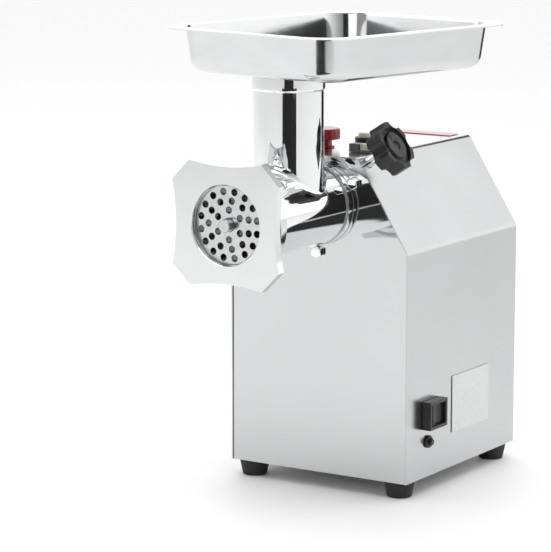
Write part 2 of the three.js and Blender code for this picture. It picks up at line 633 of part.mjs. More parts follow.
// Four blades that sweep out from the hub; each has a straight edge in front and a hollow back.
function knife() {
  const shape = new THREE.Shape();
  const at = (radius, degrees) => {
    const angle = radians(degrees);
    return [radius * Math.cos(angle), radius * Math.sin(angle)];
  };
  for (let blade = 0; blade < 4; blade += 1) {
    const turn = 90 * blade;
    if (blade === 0) shape.moveTo(...at(KNIFE_HUB, turn - 22));
    else shape.lineTo(...at(KNIFE_HUB, turn - 22));
    shape.quadraticCurveTo(...at(KNIFE_RADIUS * 0.73, turn - 4), ...at(KNIFE_RADIUS, turn + 2));
    shape.lineTo(...at(KNIFE_RADIUS, turn + 16));
    shape.quadraticCurveTo(...at(KNIFE_RADIUS * 0.64, turn + 22), ...at(KNIFE_HUB, turn + 44));
  }
  const half = (KNIFE_SQUARE + 2 * TOUCH_GAP) / 2;
  const square = box([-half, half], [KNIFE_FRONT - 1, KNIFE_BACK + 1], [DRIVE_Z - half, DRIVE_Z + half]);
  return cut(slabAlongY(shape, KNIFE_FRONT, KNIFE_BACK, 4).translate(0, 0, DRIVE_Z), square);
}

// Core with one flight, drawn as a cross-section and twisted along its length.
function augerFlight(front, back) {
  const outer = BARREL_BORE - RUNNING_GAP - 0.3;
  const steps = 26;
  const sides = 20;
  const shape = polygon(Array.from({ length: sides }, (_, i) => {
    const angle = 2 * Math.PI * i / sides - Math.PI;
    const rise = THREE.MathUtils.smoothstep(radians(78) - Math.abs(angle), 0, radians(52));
    const radius = AUGER_CORE + (outer - AUGER_CORE) * rise;
    return [radius * Math.cos(angle), radius * Math.sin(angle)];
  }));
  const length = back - front;
  const blank = new THREE.ExtrudeGeometry(shape, { depth: length, steps, bevelEnabled: false });
  const position = blank.attributes.position;
  const point = new THREE.Vector3();
  const axis = new THREE.Vector3(0, 0, 1);
  for (let i = 0; i < position.count; i += 1) {
    point.fromBufferAttribute(position, i);
    point.applyAxisAngle(axis, 2 * Math.PI * AUGER_TURNS * point.z / length);
    position.setXYZ(i, point.x, point.y, point.z);
  }
  return blank.rotateX(Math.PI / 2).translate(0, back, DRIVE_Z);
}

const SOCKET_FRONT = 5;
const SOCKET_BACK = 26;

function auger() {
  const square = (size, front, back) => {
    const half = size / 2;
    return box([-half, half], [front, back], [DRIVE_Z - half, DRIVE_Z + half]);
  };
  const flightFront = KNIFE_BACK + TOUCH_GAP;
  return join(
    augerFlight(flightFront, AUGER_BACK),
    rodY(SHANK_RADIUS, AUGER_BACK - 2, SOCKET_FRONT - RUNNING_GAP - 1),
    square(DRIVE_SQUARE, AUGER_BACK, SOCKET_BACK - 2),
    square(KNIFE_SQUARE, KNIFE_FRONT, flightFront + 2),
    rodY(PIN_RADIUS, -NUT_FACE - PIN_PROUD, flightFront, 0, DRIVE_Z, 16),
  );
}

function ringNut() {
  const half = NUT_WIDTH / 2;
  const straight = half - NUT_CORNER;
  const shape = new THREE.Shape();
  shape.moveTo(-straight, -half);
  for (let side = 0; side < 4; side += 1) {
    const turn = (x, y) => {
      const corner = new THREE.Vector2(x, y).rotateAround(new THREE.Vector2(), side * Math.PI / 2);
      return [corner.x, corner.y];
    };
    shape.quadraticCurveTo(...turn(0, -half + 2 * NUT_SIDE_SAG), ...turn(straight, -half));
    shape.lineTo(...turn(half, -straight));
  }
  const front = -NUT_FACE;
  const back = front + NUT_DEPTH - TOUCH_GAP;
  const plate = slabAlongY(shape, front, front + NUT_PLATE, 8).translate(0, 0, DRIVE_Z);
  const skirt = turned([
    [0, front + 1],
    [NUT_SKIRT_RADIUS + 2, front + 1],
    [NUT_SKIRT_RADIUS, back],
    [0, back],
  ], 0, DRIVE_Z, 32);
  const inside = turned([
    [0, front - 1],
    [NUT_OPENING, front - 1],
    [NUT_OPENING, front + NUT_LIP],
    [THREAD_RADIUS + RUNNING_GAP, front + NUT_LIP],
    [THREAD_RADIUS + RUNNING_GAP, back + 1],
    [0, back + 1],
  ], 0, DRIVE_Z, 32);
  return cut(join(plate, skirt), inside);
}

// Tray shell: a rounded slab whose steps are drawn in towards the floor.
function trayBody(width, length, corner, low, high, fold) {
  const levels = 5;
  const height = high - low;
  const slab = new THREE.ExtrudeGeometry(roundedRectangle(width, length, corner), {
    depth: height, steps: levels, bevelEnabled: false, curveSegments: 5,
  });
  const position = slab.attributes.position;
  for (let i = 0; i < position.count; i += 1) {
    const share = position.getZ(i) / height;
    // Levels crowd towards the floor, where the wall turns through the fold.
    const z = height * share ** 2.2;
    const roll = z < fold ? fold - Math.sqrt(fold ** 2 - (fold - z) ** 2) : 0;
    const inset = roll + PAN_DRAFT * (1 - z / height);
    position.setXYZ(
      i,
      position.getX(i) * (1 - 2 * inset / width),
      position.getY(i) * (1 - 2 * inset / length),
      low + z,
    );
  }
  return slab;
}

function feedPan() {
  const [width, length] = [PAN_WIDTH - 2 * PAN_RIM, PAN_LENGTH - 2 * PAN_RIM];
  const corner = PAN_WALL_CORNER;
  const [low, high] = [0, PAN_DEPTH];
  const wall = 2 * PAN_SHEET;
  const spoutRadius = TUBE_BORE - RUNNING_GAP;
  const spoutAt = [0, -PAN_SPOUT_BACK];
  const body = join(
    trayBody(width, length, corner, low, high, PAN_FOLD),
    slabUp(roundedRectangle(PAN_WIDTH, PAN_LENGTH, PAN_CORNER), high - PAN_SHEET, high, 6),
    rodUp(spoutRadius, low - SPOUT_LENGTH, low + 1, ...spoutAt, 28),
  );
  const hollow = trayBody(
    width - wall, length - wall, corner - PAN_SHEET, low + PAN_SHEET, high + 1, PAN_FOLD - PAN_SHEET,
  );
  const bore = rodUp(spoutRadius - PAN_SHEET, low - SPOUT_LENGTH - 1, low + 3, ...spoutAt, 28);
  return cut(body, hollow, bore);
}

function buildHead() {
  place('head_casting', headCasting(), STEEL);
  place('plate_key_pin', rodY(KEY_RADIUS, KEY_FRONT, KEY_BACK, KEY_REACH, DRIVE_Z, 12), DARK_STEEL);
  const washerBack = REAR_WALL_FRONT - TOUCH_GAP;
  const washerBore = SHANK_RADIUS + RUNNING_GAP;
  const washer = ringY(BARREL_BORE - 1, washerBore, washerBack - WASHER_THICKNESS, washerBack);
  place('thrust_washer', washer, BRONZE);
  place('auger', auger(), STEEL);
  place('knife', knife(), STEEL);
  place('grinding_plate', grindingPlate(), STEEL);
  place('ring_nut', ringNut(), MIRROR);
  const pan = feedPan().translate(0, PAN_SPOUT_BACK, 0).rotateZ(radians(PAN_TURN));
  place('feed_pan', pan.translate(0, -TUBE_FROM_PANEL, PAN_FLOOR), STEEL);
}

// ---- gearbox ----------------------------------------------------------------------------------

function gearCaseOutline(radius) {
  const shape = new THREE.Shape();
  shape.absarc(0, DRIVE_Z, radius, 0, Math.PI);
  shape.lineTo(-radius, MOTOR_Z);
  shape.absarc(0, MOTOR_Z, radius, Math.PI, 2 * Math.PI);
  return shape;
}

const BEARING_GAP = TOUCH_GAP;
const FRONT_BEARING = { outer: 25, front: GEARBOX_FRONT + TOUCH_GAP, back: GEARBOX_CAVITY - TOUCH_GAP };
const REAR_BEARING = { outer: 15, front: COVER_FRONT, back: COVER_BACK - 2 - TOUCH_GAP };

function gearboxHousing() {
  const shell = slabAlongY(gearCaseOutline(GEARBOX_OUTER), GEARBOX_FRONT, GEARBOX_BACK, 10);
  const nose = rodY(NOSE_RADIUS, -NOSE_FRONT, GEARBOX_FRONT + 1, 0, DRIVE_Z, 32);
  const half = halfOutline(COVER_SHEET + 1.5);
  const flange = common(
    rodY(NECK_FLANGE_RADIUS, PANEL_BACK + TOUCH_GAP, GEARBOX_FRONT + 1, 0, DRIVE_Z, 32),
    slabAlongY(polygon([...half, ...mirrored(half)]), 0, GEARBOX_CAVITY),
  );
  const boltHoles = NECK_BOLT_ANGLES.map((angle) => {
    const [x, z] = neckBoltPlace(angle);
    return rodY(NECK_BOLT_RADIUS + TOUCH_GAP, -5, NECK_BOLT_END + 0.5, x, z, 12);
  });
  return cut(
    join(shell, nose, flange),
    slabAlongY(gearCaseOutline(GEARBOX_INNER), GEARBOX_CAVITY, GEARBOX_BACK + 1, 10),
    rodY(NOSE_BORE, -NOSE_FRONT - 1, GEARBOX_FRONT, 0, DRIVE_Z, 28),
    rodY(FRONT_BEARING.outer + BEARING_GAP, GEARBOX_FRONT - 1, GEARBOX_CAVITY + 1, 0, DRIVE_Z, 20),
    rodY(CLUSTER_PIN_RADIUS + TOUCH_GAP, GEARBOX_CAVITY - 6, GEARBOX_CAVITY + 1, 0, CLUSTER_Z, 20),
    clampScrewHole(),
    clampNutRoom(),
    ...boltHoles,
  );
}

function gearboxCover() {
  return cut(
    slabAlongY(gearCaseOutline(GEARBOX_OUTER), COVER_FRONT, COVER_BACK, 10),
    rodY(REAR_BEARING.outer + BEARING_GAP, COVER_FRONT - 1, COVER_BACK - 2, 0, DRIVE_Z),
    rodY(CLUSTER_PIN_RADIUS + TOUCH_GAP, COVER_FRONT - 1, COVER_BACK - 2, 0, CLUSTER_Z, 20),
    rodY(MOTOR_SHAFT_RADIUS + 2, COVER_FRONT - 1, COVER_BACK + 1, 0, MOTOR_Z, 24),
  );
}

function neckBolt(angle) {
  const [x, z] = neckBoltPlace(angle);
  const seat = PANEL_SETBACK - TOUCH_GAP;
  const head = slabAlongY(hexagon(NECK_BOLT_HEAD), seat - NECK_BOLT_HEAD_HEIGHT, seat).translate(x, 0, z);
  return join(head, rodY(NECK_BOLT_RADIUS, seat - 1, NECK_BOLT_END, x, z, 12));
}

function outputShaft() {
  const half = DRIVE_SQUARE / 2 + TOUCH_GAP;
  const profile = [
    [0, SOCKET_FRONT],
    [OUTPUT_NOSE_RADIUS, SOCKET_FRONT],
    [OUTPUT_NOSE_RADIUS, OUTPUT_GEAR_FRONT - 0.5],
    [OUTPUT_REAR_RADIUS + 2, OUTPUT_GEAR_FRONT - 0.5],
    [OUTPUT_REAR_RADIUS + 2, OUTPUT_GEAR_FRONT + OUTPUT_FACE],
    [OUTPUT_REAR_RADIUS, OUTPUT_GEAR_FRONT + OUTPUT_FACE],
    [OUTPUT_REAR_RADIUS, COVER_BACK - 2 - 2 * TOUCH_GAP],
    [0, COVER_BACK - 2 - 2 * TOUCH_GAP],
  ];
  const socket = box([-half, half], [SOCKET_FRONT - 1, SOCKET_BACK], [DRIVE_Z - half, DRIVE_Z + half]);
  return cut(turned(profile, 0, DRIVE_Z, 28), socket);
}

function outputGear() {
  const outline = gearOutline(OUTPUT_TEETH, -90 + 180 / OUTPUT_TEETH);
  const blank = slabAlongY(outline, OUTPUT_GEAR_FRONT, OUTPUT_GEAR_FRONT + OUTPUT_FACE);
  const bore = rodY(OUTPUT_REAR_RADIUS + 2 + TOUCH_GAP, 0, COVER_BACK, 0, 0, 28);
  return cut(blank, bore).translate(0, 0, DRIVE_Z);
}

function clusterGear() {
  const outline = gearOutline(CLUSTER_LARGE_TEETH, -90 + 180 / CLUSTER_LARGE_TEETH);
  const large = slabAlongY(outline, PRIMARY_FRONT, PRIMARY_FRONT + PRIMARY_FACE);
  const small = slabAlongY(gearOutline(CLUSTER_SMALL_TEETH, 90), OUTPUT_GEAR_FRONT, PRIMARY_FRONT + 1);
  const bore = rodY(CLUSTER_PIN_RADIUS + RUNNING_GAP, 0, COVER_BACK, 0, 0, 24);
  return cut(join(large, small), bore).translate(0, 0, CLUSTER_Z);
}

function buildGearbox() {
  place('gearbox_housing', gearboxHousing(), CAST);
  place('gearbox_cover', gearboxCover(), CAST);
  NECK_BOLT_ANGLES.forEach((angle, i) => place(`neck_bolt_${i + 1}`, neckBolt(angle), STEEL));
  const bearing = ({ outer, front, back }, shaft) => ringY(outer, shaft + RUNNING_GAP, front, back);
  place('output_bearing_front', bearing(FRONT_BEARING, OUTPUT_NOSE_RADIUS), DARK_STEEL);
  place('output_bearing_rear', bearing(REAR_BEARING, OUTPUT_REAR_RADIUS), DARK_STEEL);
  place('output_shaft', outputShaft(), DARK_STEEL);
  place('output_gear', outputGear(), DARK_STEEL);
  const pinEnds = [GEARBOX_CAVITY - 6 + TOUCH_GAP, COVER_BACK - 2 - TOUCH_GAP];
  place('cluster_pin', rodY(CLUSTER_PIN_RADIUS, ...pinEnds, 0, CLUSTER_Z, 20), DARK_STEEL);
  place('cluster_gear', clusterGear(), DARK_STEEL);
}

// ---- motor ------------------------------------------------------------------------------------

const MOTOR_BEARING = { outer: 15, width: 9 };
const FAN_FRONT = MOTOR_BACK + 6;
const FAN_RADIUS = 46;

function motorHousing() {
  const shield = 6;
  const profile = [
    [MOTOR_BEARING.outer + BEARING_GAP, MOTOR_FRONT],
    [MOTOR_RADIUS, MOTOR_FRONT],
    [MOTOR_RADIUS, MOTOR_BACK - shield],
    [MOTOR_RADIUS - MOTOR_WALL, MOTOR_BACK - shield],
    [MOTOR_RADIUS - MOTOR_WALL, MOTOR_FRONT + shield],
    [MOTOR_BEARING.outer + 5, MOTOR_FRONT + shield],
    [MOTOR_BEARING.outer + 5, MOTOR_FRONT + MOTOR_BEARING.width + 1],
    [MOTOR_BEARING.outer + BEARING_GAP, MOTOR_FRONT + MOTOR_BEARING.width + 1],
    [MOTOR_BEARING.outer + BEARING_GAP, MOTOR_FRONT],
  ];
  return turned(profile, 0, MOTOR_Z, 28);
}

function motorEndShield() {
  const front = MOTOR_BACK - 6 + TOUCH_GAP;
  return ringY(MOTOR_RADIUS, MOTOR_BEARING.outer + BEARING_GAP, front, MOTOR_BACK, 0, MOTOR_Z, 28);
}

// Laminated ring with its winding heads, front and rear.
function motorStator() {
  const middle = (MOTOR_FRONT + MOTOR_BACK) / 2;
  const [front, back] = [middle - STATOR_LENGTH / 2, middle + STATOR_LENGTH / 2];
  const outer = MOTOR_RADIUS - MOTOR_WALL - TOUCH_GAP;
  const core = ringY(outer, ROTOR_RADIUS + 0.8, front, back, 0, MOTOR_Z, 28);
  const winding = ringY(MOTOR_RADIUS - 9, ROTOR_RADIUS + 3, front - 9, back + 9, 0, MOTOR_Z, 24);
  return join(core, winding);
}

function motorRotor() {
  const middle = (MOTOR_FRONT + MOTOR_BACK) / 2;
  const core = STATOR_LENGTH / 2;
  return turned([
    [0, PRIMARY_FRONT - 2],
    [MOTOR_SHAFT_RADIUS, PRIMARY_FRONT - 2],
    [MOTOR_SHAFT_RADIUS, middle - core],
    [ROTOR_RADIUS, middle - core],
    [ROTOR_RADIUS, middle + core],
    [MOTOR_SHAFT_RADIUS, middle + core],
    [MOTOR_SHAFT_RADIUS, FAN_FRONT + 10],
    [0, FAN_FRONT + 10],
  ], 0, MOTOR_Z, 20);
}

function motorPinion() {
  const blank = slabAlongY(gearOutline(PINION_TEETH, 90), PRIMARY_FRONT, PRIMARY_FRONT + PRIMARY_FACE);
  return cut(blank, rodY(MOTOR_SHAFT_RADIUS + TOUCH_GAP, 0, COVER_BACK, 0, 0, 28)).translate(0, 0, MOTOR_Z);
}

function coolingFan() {
  const blades = Array.from({ length: 8 }, (_, i) => (
    box([-1, 1], [FAN_FRONT, FAN_FRONT + 10], [14, FAN_RADIUS]).rotateY(i * Math.PI / 4)
  ));
  const hub = rodY(16, FAN_FRONT, FAN_FRONT + 8, 0, 0, 24);
  const disc = rodY(FAN_RADIUS - 2, FAN_FRONT, FAN_FRONT + 1.5, 0, 0, 32);
  const bore = rodY(MOTOR_SHAFT_RADIUS + TOUCH_GAP, FAN_FRONT - 1, FAN_FRONT + 11, 0, 0, 28);
  return cut(join(hub, disc, ...blades), bore).translate(0, 0, MOTOR_Z);
}

function buildMotor() {
  place('motor_housing', motorHousing(), CAST);
  place('motor_end_shield', motorEndShield(), CAST);
  place('motor_stator', motorStator(), COPPER);
  place('motor_rotor', motorRotor(), DARK_STEEL);
  place('motor_pinion', motorPinion(), DARK_STEEL);
  place('cooling_fan', coolingFan(), BLACK_PLASTIC);
  const inner = MOTOR_SHAFT_RADIUS + RUNNING_GAP;
  const { outer, width } = MOTOR_BEARING;
  const frontEnd = MOTOR_FRONT + 0.5;
  place('motor_bearing_front', ringY(outer, inner, frontEnd, frontEnd + width, 0, MOTOR_Z), DARK_STEEL);
  const rearEnd = MOTOR_BACK - 0.5;
  place('motor_bearing_rear', ringY(outer, inner, rearEnd - width, rearEnd, 0, MOTOR_Z), DARK_STEEL);
  const low = BODY_LOW + PANEL_SHEET + TOUCH_GAP;
  const { x, y, radius, length } = CAPACITOR;
  place('capacitor', rodUp(radius, low, low + length, x, y, 28), BLACK_PLASTIC);
}

// ---- clamp knob -------------------------------------------------------------------------------

function starKnob() {
  const points = KNOB_LOBES * 6;
  const outline = polygon(Array.from({ length: points }, (_, i) => {
    const angle = 2 * Math.PI * i / points;
    const radius = KNOB_MEAN_RADIUS + KNOB_LOBE_DEPTH * Math.cos(KNOB_LOBES * angle);
    return [radius * Math.cos(angle), radius * Math.sin(angle)];
  }));
  const back = KNOB_FACE - KNOB_THICKNESS;
  const groove = new THREE.LatheGeometry(
    [[10, KNOB_FACE - 2.5], [16.5, KNOB_FACE - 2.5], [16.5, KNOB_FACE + 1], [10, KNOB_FACE + 1],
      [10, KNOB_FACE - 2.5]].map(([r, y]) => new THREE.Vector2(r, y)),
    28,
  ).rotateX(Math.PI / 2);
  return cut(
    join(slabUp(outline, back, KNOB_FACE), rodUp(KNOB_HUB_RADIUS, back - KNOB_HUB_LENGTH, back + 1, 0, 0)),
    groove,
    rodUp(CLAMP_SCREW_RADIUS + TOUCH_GAP, 0, KNOB_FACE - 8, 0, 0, 16),
  );
}

function clampNut() {
  const nut = slabUp(hexagon(CLAMP_NUT_RADIUS), CLAMP_NUT_TOP - CLAMP_NUT_HEIGHT, CLAMP_NUT_TOP);
  return cut(nut, rodUp(CLAMP_SCREW_RADIUS + RUNNING_GAP, -20, 5, 0, 0, 16));
}

function buildKnob() {
  place('star_knob', onShoulder(starKnob()), BLACK_PLASTIC);
  const screw = rodUp(CLAMP_SCREW_RADIUS, -CLAMP_REACH, KNOB_FACE - 8 - TOUCH_GAP, 0, 0, 16);
  place('clamp_screw', onShoulder(screw), STEEL);
  place('clamp_nut', onShoulder(clampNut()), STEEL);
}

// ---- switches, buttons, inlet and labels ------------------------------------------------------

function switchPocket(margin, depth) {
  return box(
    [HALF_WIDTH + SWITCH_PROUD - depth, HALF_WIDTH + SWITCH_PROUD + 5],
    [SWITCH_FRONT + margin, SWITCH_FRONT + SWITCH_LENGTH - margin],
    [BODY_LOW + SWITCH_LOW + margin, BODY_LOW + SWITCH_LOW + SWITCH_HEIGHT - margin],
  );
}

function switchBezel() {
  const shroud = box(
    [HALF_WIDTH + TOUCH_GAP, HALF_WIDTH + SWITCH_PROUD],
    [SWITCH_FRONT, SWITCH_FRONT + SWITCH_LENGTH],
    [BODY_LOW + SWITCH_LOW, BODY_LOW + SWITCH_LOW + SWITCH_HEIGHT],
  );
  const inside = common(switchCutout(0), box([0, HALF_WIDTH + 1], [0, BODY_DEPTH], [0, BODY_TOP]));
  return cut(join(shroud, inside), switchPocket(3, 12));
}

const ROCKER_PIVOT = [HALF_WIDTH + SWITCH_PROUD - 6, SWITCH_FRONT + SWITCH_LENGTH / 2];

// Rocker with a shallow V face, drawn level, then tilted to its off position about the pivot.
function powerRocker() {
  const half = SWITCH_LENGTH / 2 - 3 - 0.9;
  const shape = polygon([[-3.2, -half], [4.4, -half], [2.6, 0], [4.4, half], [-3.2, half]]);
  const low = BODY_LOW + SWITCH_LOW + 3 + RUNNING_GAP;
  const high = BODY_LOW + SWITCH_LOW + SWITCH_HEIGHT - 3 - RUNNING_GAP;
  const rocker = slabUp(shape, low, high).rotateZ(radians(SWITCH_TILT));
  return rocker.translate(ROCKER_PIVOT[0], ROCKER_PIVOT[1], 0);
}

function sleeve(radius, bore, flange, flangeHeight, depth) {
  const profile = [
    [bore, -depth], [radius, -depth], [radius, TOUCH_GAP], [flange, TOUCH_GAP],
    [flange, flangeHeight], [bore, flangeHeight], [bore, -depth],
  ];
  return new THREE.LatheGeometry(profile.map(([r, z]) => new THREE.Vector2(r, z)), 20).rotateX(Math.PI / 2);
}

const STOP_COLLAR_TOP = 7;
const STOP_COLLAR_BORE = STOP_STEM_RADIUS + RUNNING_GAP;
const STOP_CAP_LOW = STOP_COLLAR_TOP + 0.6;
const STOP_RECESS_TOP = STOP_CAP_LOW + 6;

// Fluted cap on a stem, drawn with the mounting face at zero; its recess takes the collar.
function stopButton() {
  const fluteDepth = 0.7;
  const cap = polygon(Array.from({ length: STOP_FLUTES * 2 }, (_, i) => {
    const angle = Math.PI * i / STOP_FLUTES;
    const radius = STOP_CAP_RADIUS - (i % 2 ? fluteDepth : 0);
    return [radius * Math.cos(angle), radius * Math.sin(angle)];
  }));
  const recess = STOP_COLLAR_RADIUS + RUNNING_GAP;
  const solid = slabUp(cap, STOP_CAP_LOW, STOP_CAP_LOW + STOP_CAP_HEIGHT);
  return join(
    cut(solid, rodUp(recess, 0, STOP_RECESS_TOP, 0, 0)),
    rodUp(STOP_STEM_RADIUS, -7, STOP_RECESS_TOP + 1, 0, 0, 20),
  );
}

const stopCollar = () => join(
  sleeve(STOP_COLLAR_RADIUS, STOP_COLLAR_BORE, STOP_COLLAR_RADIUS + 2.4, 1.6, STOP_SLEEVE_DEPTH),
  cut(
    rodUp(STOP_COLLAR_RADIUS, 1, STOP_COLLAR_TOP, 0, 0),
    rodUp(STOP_COLLAR_BORE, 0, STOP_COLLAR_TOP + 1, 0, 0),
  ),
);

function buttonSpring(radius, low, high, turns) {
  class Coil extends THREE.Curve {
    getPoint(t, target = new THREE.Vector3()) {
      const angle = 2 * Math.PI * turns * t;
      return target.set(radius * Math.cos(angle), radius * Math.sin(angle), low + (high - low) * t);
    }
  }
  const wire = new THREE.Shape().absarc(0, 0, 0.6, 0, 2 * Math.PI);
  return new THREE.ExtrudeGeometry(wire, {
    steps: turns * 10, curveSegments: 2, bevelEnabled: false, extrudePath: new Coil(),
  });
}

// Dark block on the top face; its right end is a low socket for the key.
function keyBlock() {
  const left = KEY_LEFT - RUNNING_GAP;
  const right = KEY_BLOCK_LENGTH - KEY_BLOCK_WALL;
  return cut(
    join(
      keyBlockBox(0, left, 0, TOUCH_GAP, KEY_BLOCK_HEIGHT),
      keyBlockBox(0, KEY_BLOCK_LENGTH + 0.3, -0.3, TOUCH_GAP, KEY_RIM_HEIGHT),
      keyCutout(0),
    ),
    keyBlockBox(left, right, KEY_BLOCK_WALL, -KEY_SOCKET_DEPTH, KEY_BLOCK_HEIGHT + 1),
  );
}

function sideKey() {
  const right = KEY_LEFT + SIDE_KEY_LENGTH;
  const low = -KEY_SOCKET_DEPTH + KEY_RIM_HEIGHT;
  return keyBlockBox(KEY_LEFT, right, KEY_BLOCK_WALL + RUNNING_GAP, low, KEY_BLOCK_HEIGHT);
}

function powerInlet() {
  const [x, z] = [INLET_PLACE[0], BODY_LOW + INLET_PLACE[1]];
  const across = ([width, height], front, back) => (
    box([x - width / 2, x + width / 2], [front, back], [z - height / 2, z + height / 2])
  );
  const face = BODY_DEPTH - PANEL_SETBACK + TOUCH_GAP;
  const shell = cut(
    join(across(INLET_FLANGE, face, face + 2.5), across(INLET_BODY, face - 22, face + 1)),
    across([INLET_BODY[0] - 4, INLET_BODY[1] - 5], face - 17, face + 5),
  );
  const pins = [[-7, -2], [0, 2], [7, -2]].map(([px, pz]) => (
    box([x + px - 1, x + px + 1], [face - 18, face - 7], [z + pz - 2, z + pz + 2])
  ));
  return join(shell, ...pins);
}

function buildControls() {
  place('switch_bezel', switchBezel(), BLACK_PLASTIC);
  place('power_rocker', powerRocker(), BLACK_PLASTIC);
  const reset = (geometry) => geometry.rotateY(Math.PI / 2)
    .translate(HALF_WIDTH, RESET_FROM_PANEL, BODY_LOW + RESET_HEIGHT);
  const resetBore = 3.3;
  place('reset_collar', reset(sleeve(RESET_SLEEVE, resetBore, 5.6, 2.6, 12)), BLACK_PLASTIC);
  place('reset_button', reset(rodUp(resetBore - RUNNING_GAP, -9, 5.4, 0, 0, 20)), BLACK_PLASTIC);
  const onTop = (geometry, [x, y]) => geometry.translate(x, y, BODY_TOP);
  place('stop_collar', onTop(stopCollar(), STOP_PLACE), RED_PLASTIC);
  place('stop_button', onTop(stopButton(), STOP_PLACE), RED_PLASTIC);
  const springEnds = [STOP_COLLAR_TOP + TOUCH_GAP + 0.6, STOP_RECESS_TOP - TOUCH_GAP - 0.6];
  place('stop_spring', onTop(buttonSpring(5, ...springEnds, 3), STOP_PLACE), DARK_STEEL);
  const startBore = START_CAP_RADIUS + RUNNING_GAP;
  const startCollar = sleeve(
    START_SLEEVE, startBore, START_SLEEVE + 1.2, START_COLLAR_HEIGHT, START_SLEEVE_DEPTH,
  );
  const startButton = rodUp(START_CAP_RADIUS, 2 - START_SLEEVE_DEPTH, START_CAP_HEIGHT, 0, 0, 28);
  place('start_collar', onTop(startCollar, START_PLACE), BLACK_PLASTIC);
  place('start_button', onTop(startButton, START_PLACE), CREAM_PLASTIC);
  place('key_block', keyBlock(), BLACK_PLASTIC);
  place('side_key', sideKey(), CREAM_PLASTIC);
  place('power_inlet', powerInlet(), BLACK_PLASTIC);
  const plate = RATING_PLATE;
  place('rating_plate', box(
    [HALF_WIDTH + TOUCH_GAP, HALF_WIDTH + TOUCH_GAP + plate.thickness],
    [plate.front, plate.front + plate.length],
    [BODY_LOW + plate.low, BODY_LOW + plate.low + plate.height],
  ), STEEL);
  const strip = TOP_STRIP;
  place('top_strip', box(
    [strip.left, strip.left + strip.length],
    [strip.front, strip.front + strip.width],
    [BODY_TOP + TOUCH_GAP, BODY_TOP + TOUCH_GAP + strip.thickness],
  ), RED_PLASTIC);
}

buildHousing();
buildHead();
buildGearbox();
buildMotor();
buildKnob();
buildControls();

// The origin is under the middle of the object's box, on the surface it stands on.
const bounds = new THREE.Box3().setFromObject(machine);
const middle = bounds.getCenter(new THREE.Vector3());
machine.position.set(-middle.x, -middle.y, -bounds.min.z);
const group = new THREE.Group();
group.add(machine);

export default group;
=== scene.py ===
from math import cos, pi, radians, sin

import bpy
from mathutils import Matrix, Vector


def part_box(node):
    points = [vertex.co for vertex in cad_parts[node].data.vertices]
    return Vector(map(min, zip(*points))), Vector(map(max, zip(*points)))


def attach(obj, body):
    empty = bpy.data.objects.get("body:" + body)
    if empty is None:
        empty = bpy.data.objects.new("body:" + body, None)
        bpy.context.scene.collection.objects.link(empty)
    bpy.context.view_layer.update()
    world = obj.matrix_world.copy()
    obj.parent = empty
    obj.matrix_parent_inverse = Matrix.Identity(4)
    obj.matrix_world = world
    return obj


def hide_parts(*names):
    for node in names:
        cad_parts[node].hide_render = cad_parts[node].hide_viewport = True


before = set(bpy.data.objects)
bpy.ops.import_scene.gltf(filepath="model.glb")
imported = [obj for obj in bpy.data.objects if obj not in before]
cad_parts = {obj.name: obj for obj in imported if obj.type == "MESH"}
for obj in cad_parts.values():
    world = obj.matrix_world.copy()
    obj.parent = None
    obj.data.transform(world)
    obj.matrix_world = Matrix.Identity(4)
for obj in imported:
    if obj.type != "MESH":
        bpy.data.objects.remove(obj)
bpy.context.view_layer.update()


# ---- Folded housing cover -----------------------------------------------------------------------
# One sheet of polished stainless steel folded over both sides, the two shoulders and the flat top.
# It is screwed down over the base plate and is pierced for the knob, buttons and side switch.

def nothing_selected():
    if bpy.context.object and bpy.context.object.mode != "OBJECT":
        bpy.ops.object.mode_set(mode="OBJECT")
    bpy.ops.object.select_all(action="DESELECT")


def only(obj):
    nothing_selected()
    obj.select_set(True)
    bpy.context.view_layer.objects.active = obj


def settle(obj, name):
    """Puts the object's place, turn and size into its mesh."""
    only(obj)
    bpy.ops.object.transform_apply(location=True, rotation=True, scale=True)
    obj.name = name
    return obj


def block(name, low, high):
    nothing_selected()
    low, high = Vector(low), Vector(high)
    bpy.ops.mesh.primitive_cube_add(size=1, location=(low + high) / 2, scale=high - low)
    return settle(bpy.context.object, name)


def turned(name, rings, at, axis, sides=96, hollow=False):
    """A piece turned about an axis; rings are radius and distance along the axis."""
    nothing_selected()
    radius, height = rings[0]
    fill = "NOTHING" if hollow else "NGON"
    bpy.ops.mesh.primitive_circle_add(vertices=sides, radius=radius, fill_type=fill)
    obj = bpy.context.object
    bpy.ops.object.mode_set(mode="EDIT")
    bpy.ops.mesh.select_all(action="SELECT")
    bpy.ops.transform.translate(value=(0, 0, height))
    for next_radius, next_height in rings[1:]:
        step = {"value": (0, 0, next_height - height)}
        bpy.ops.mesh.extrude_region_move(TRANSFORM_OT_translate=step)
        share = next_radius / radius
        bpy.ops.transform.resize(value=(share, share, 1), center_override=(0, 0, next_height))
        radius, height = next_radius, next_height
    bpy.ops.mesh.select_all(action="SELECT")
    if hollow:
        bpy.ops.mesh.remove_doubles(threshold=1e-6)
    bpy.ops.mesh.normals_make_consistent(inside=False)
    bpy.ops.object.mode_set(mode="OBJECT")
    obj.rotation_mode = "QUATERNION"
    obj.rotation_quaternion = Vector(axis).to_track_quat("Z", "Y")
    obj.location = at
    return settle(obj, name)


def carve(obj, tool, operation="DIFFERENCE"):
    only(obj)
    modifier = obj.modifiers.new("carve", "BOOLEAN")
    modifier.object = tool
    modifier.operation = operation
    modifier.solver = "EXACT"
    bpy.ops.object.modifier_apply(modifier=modifier.name)
    bpy.data.objects.remove(tool)


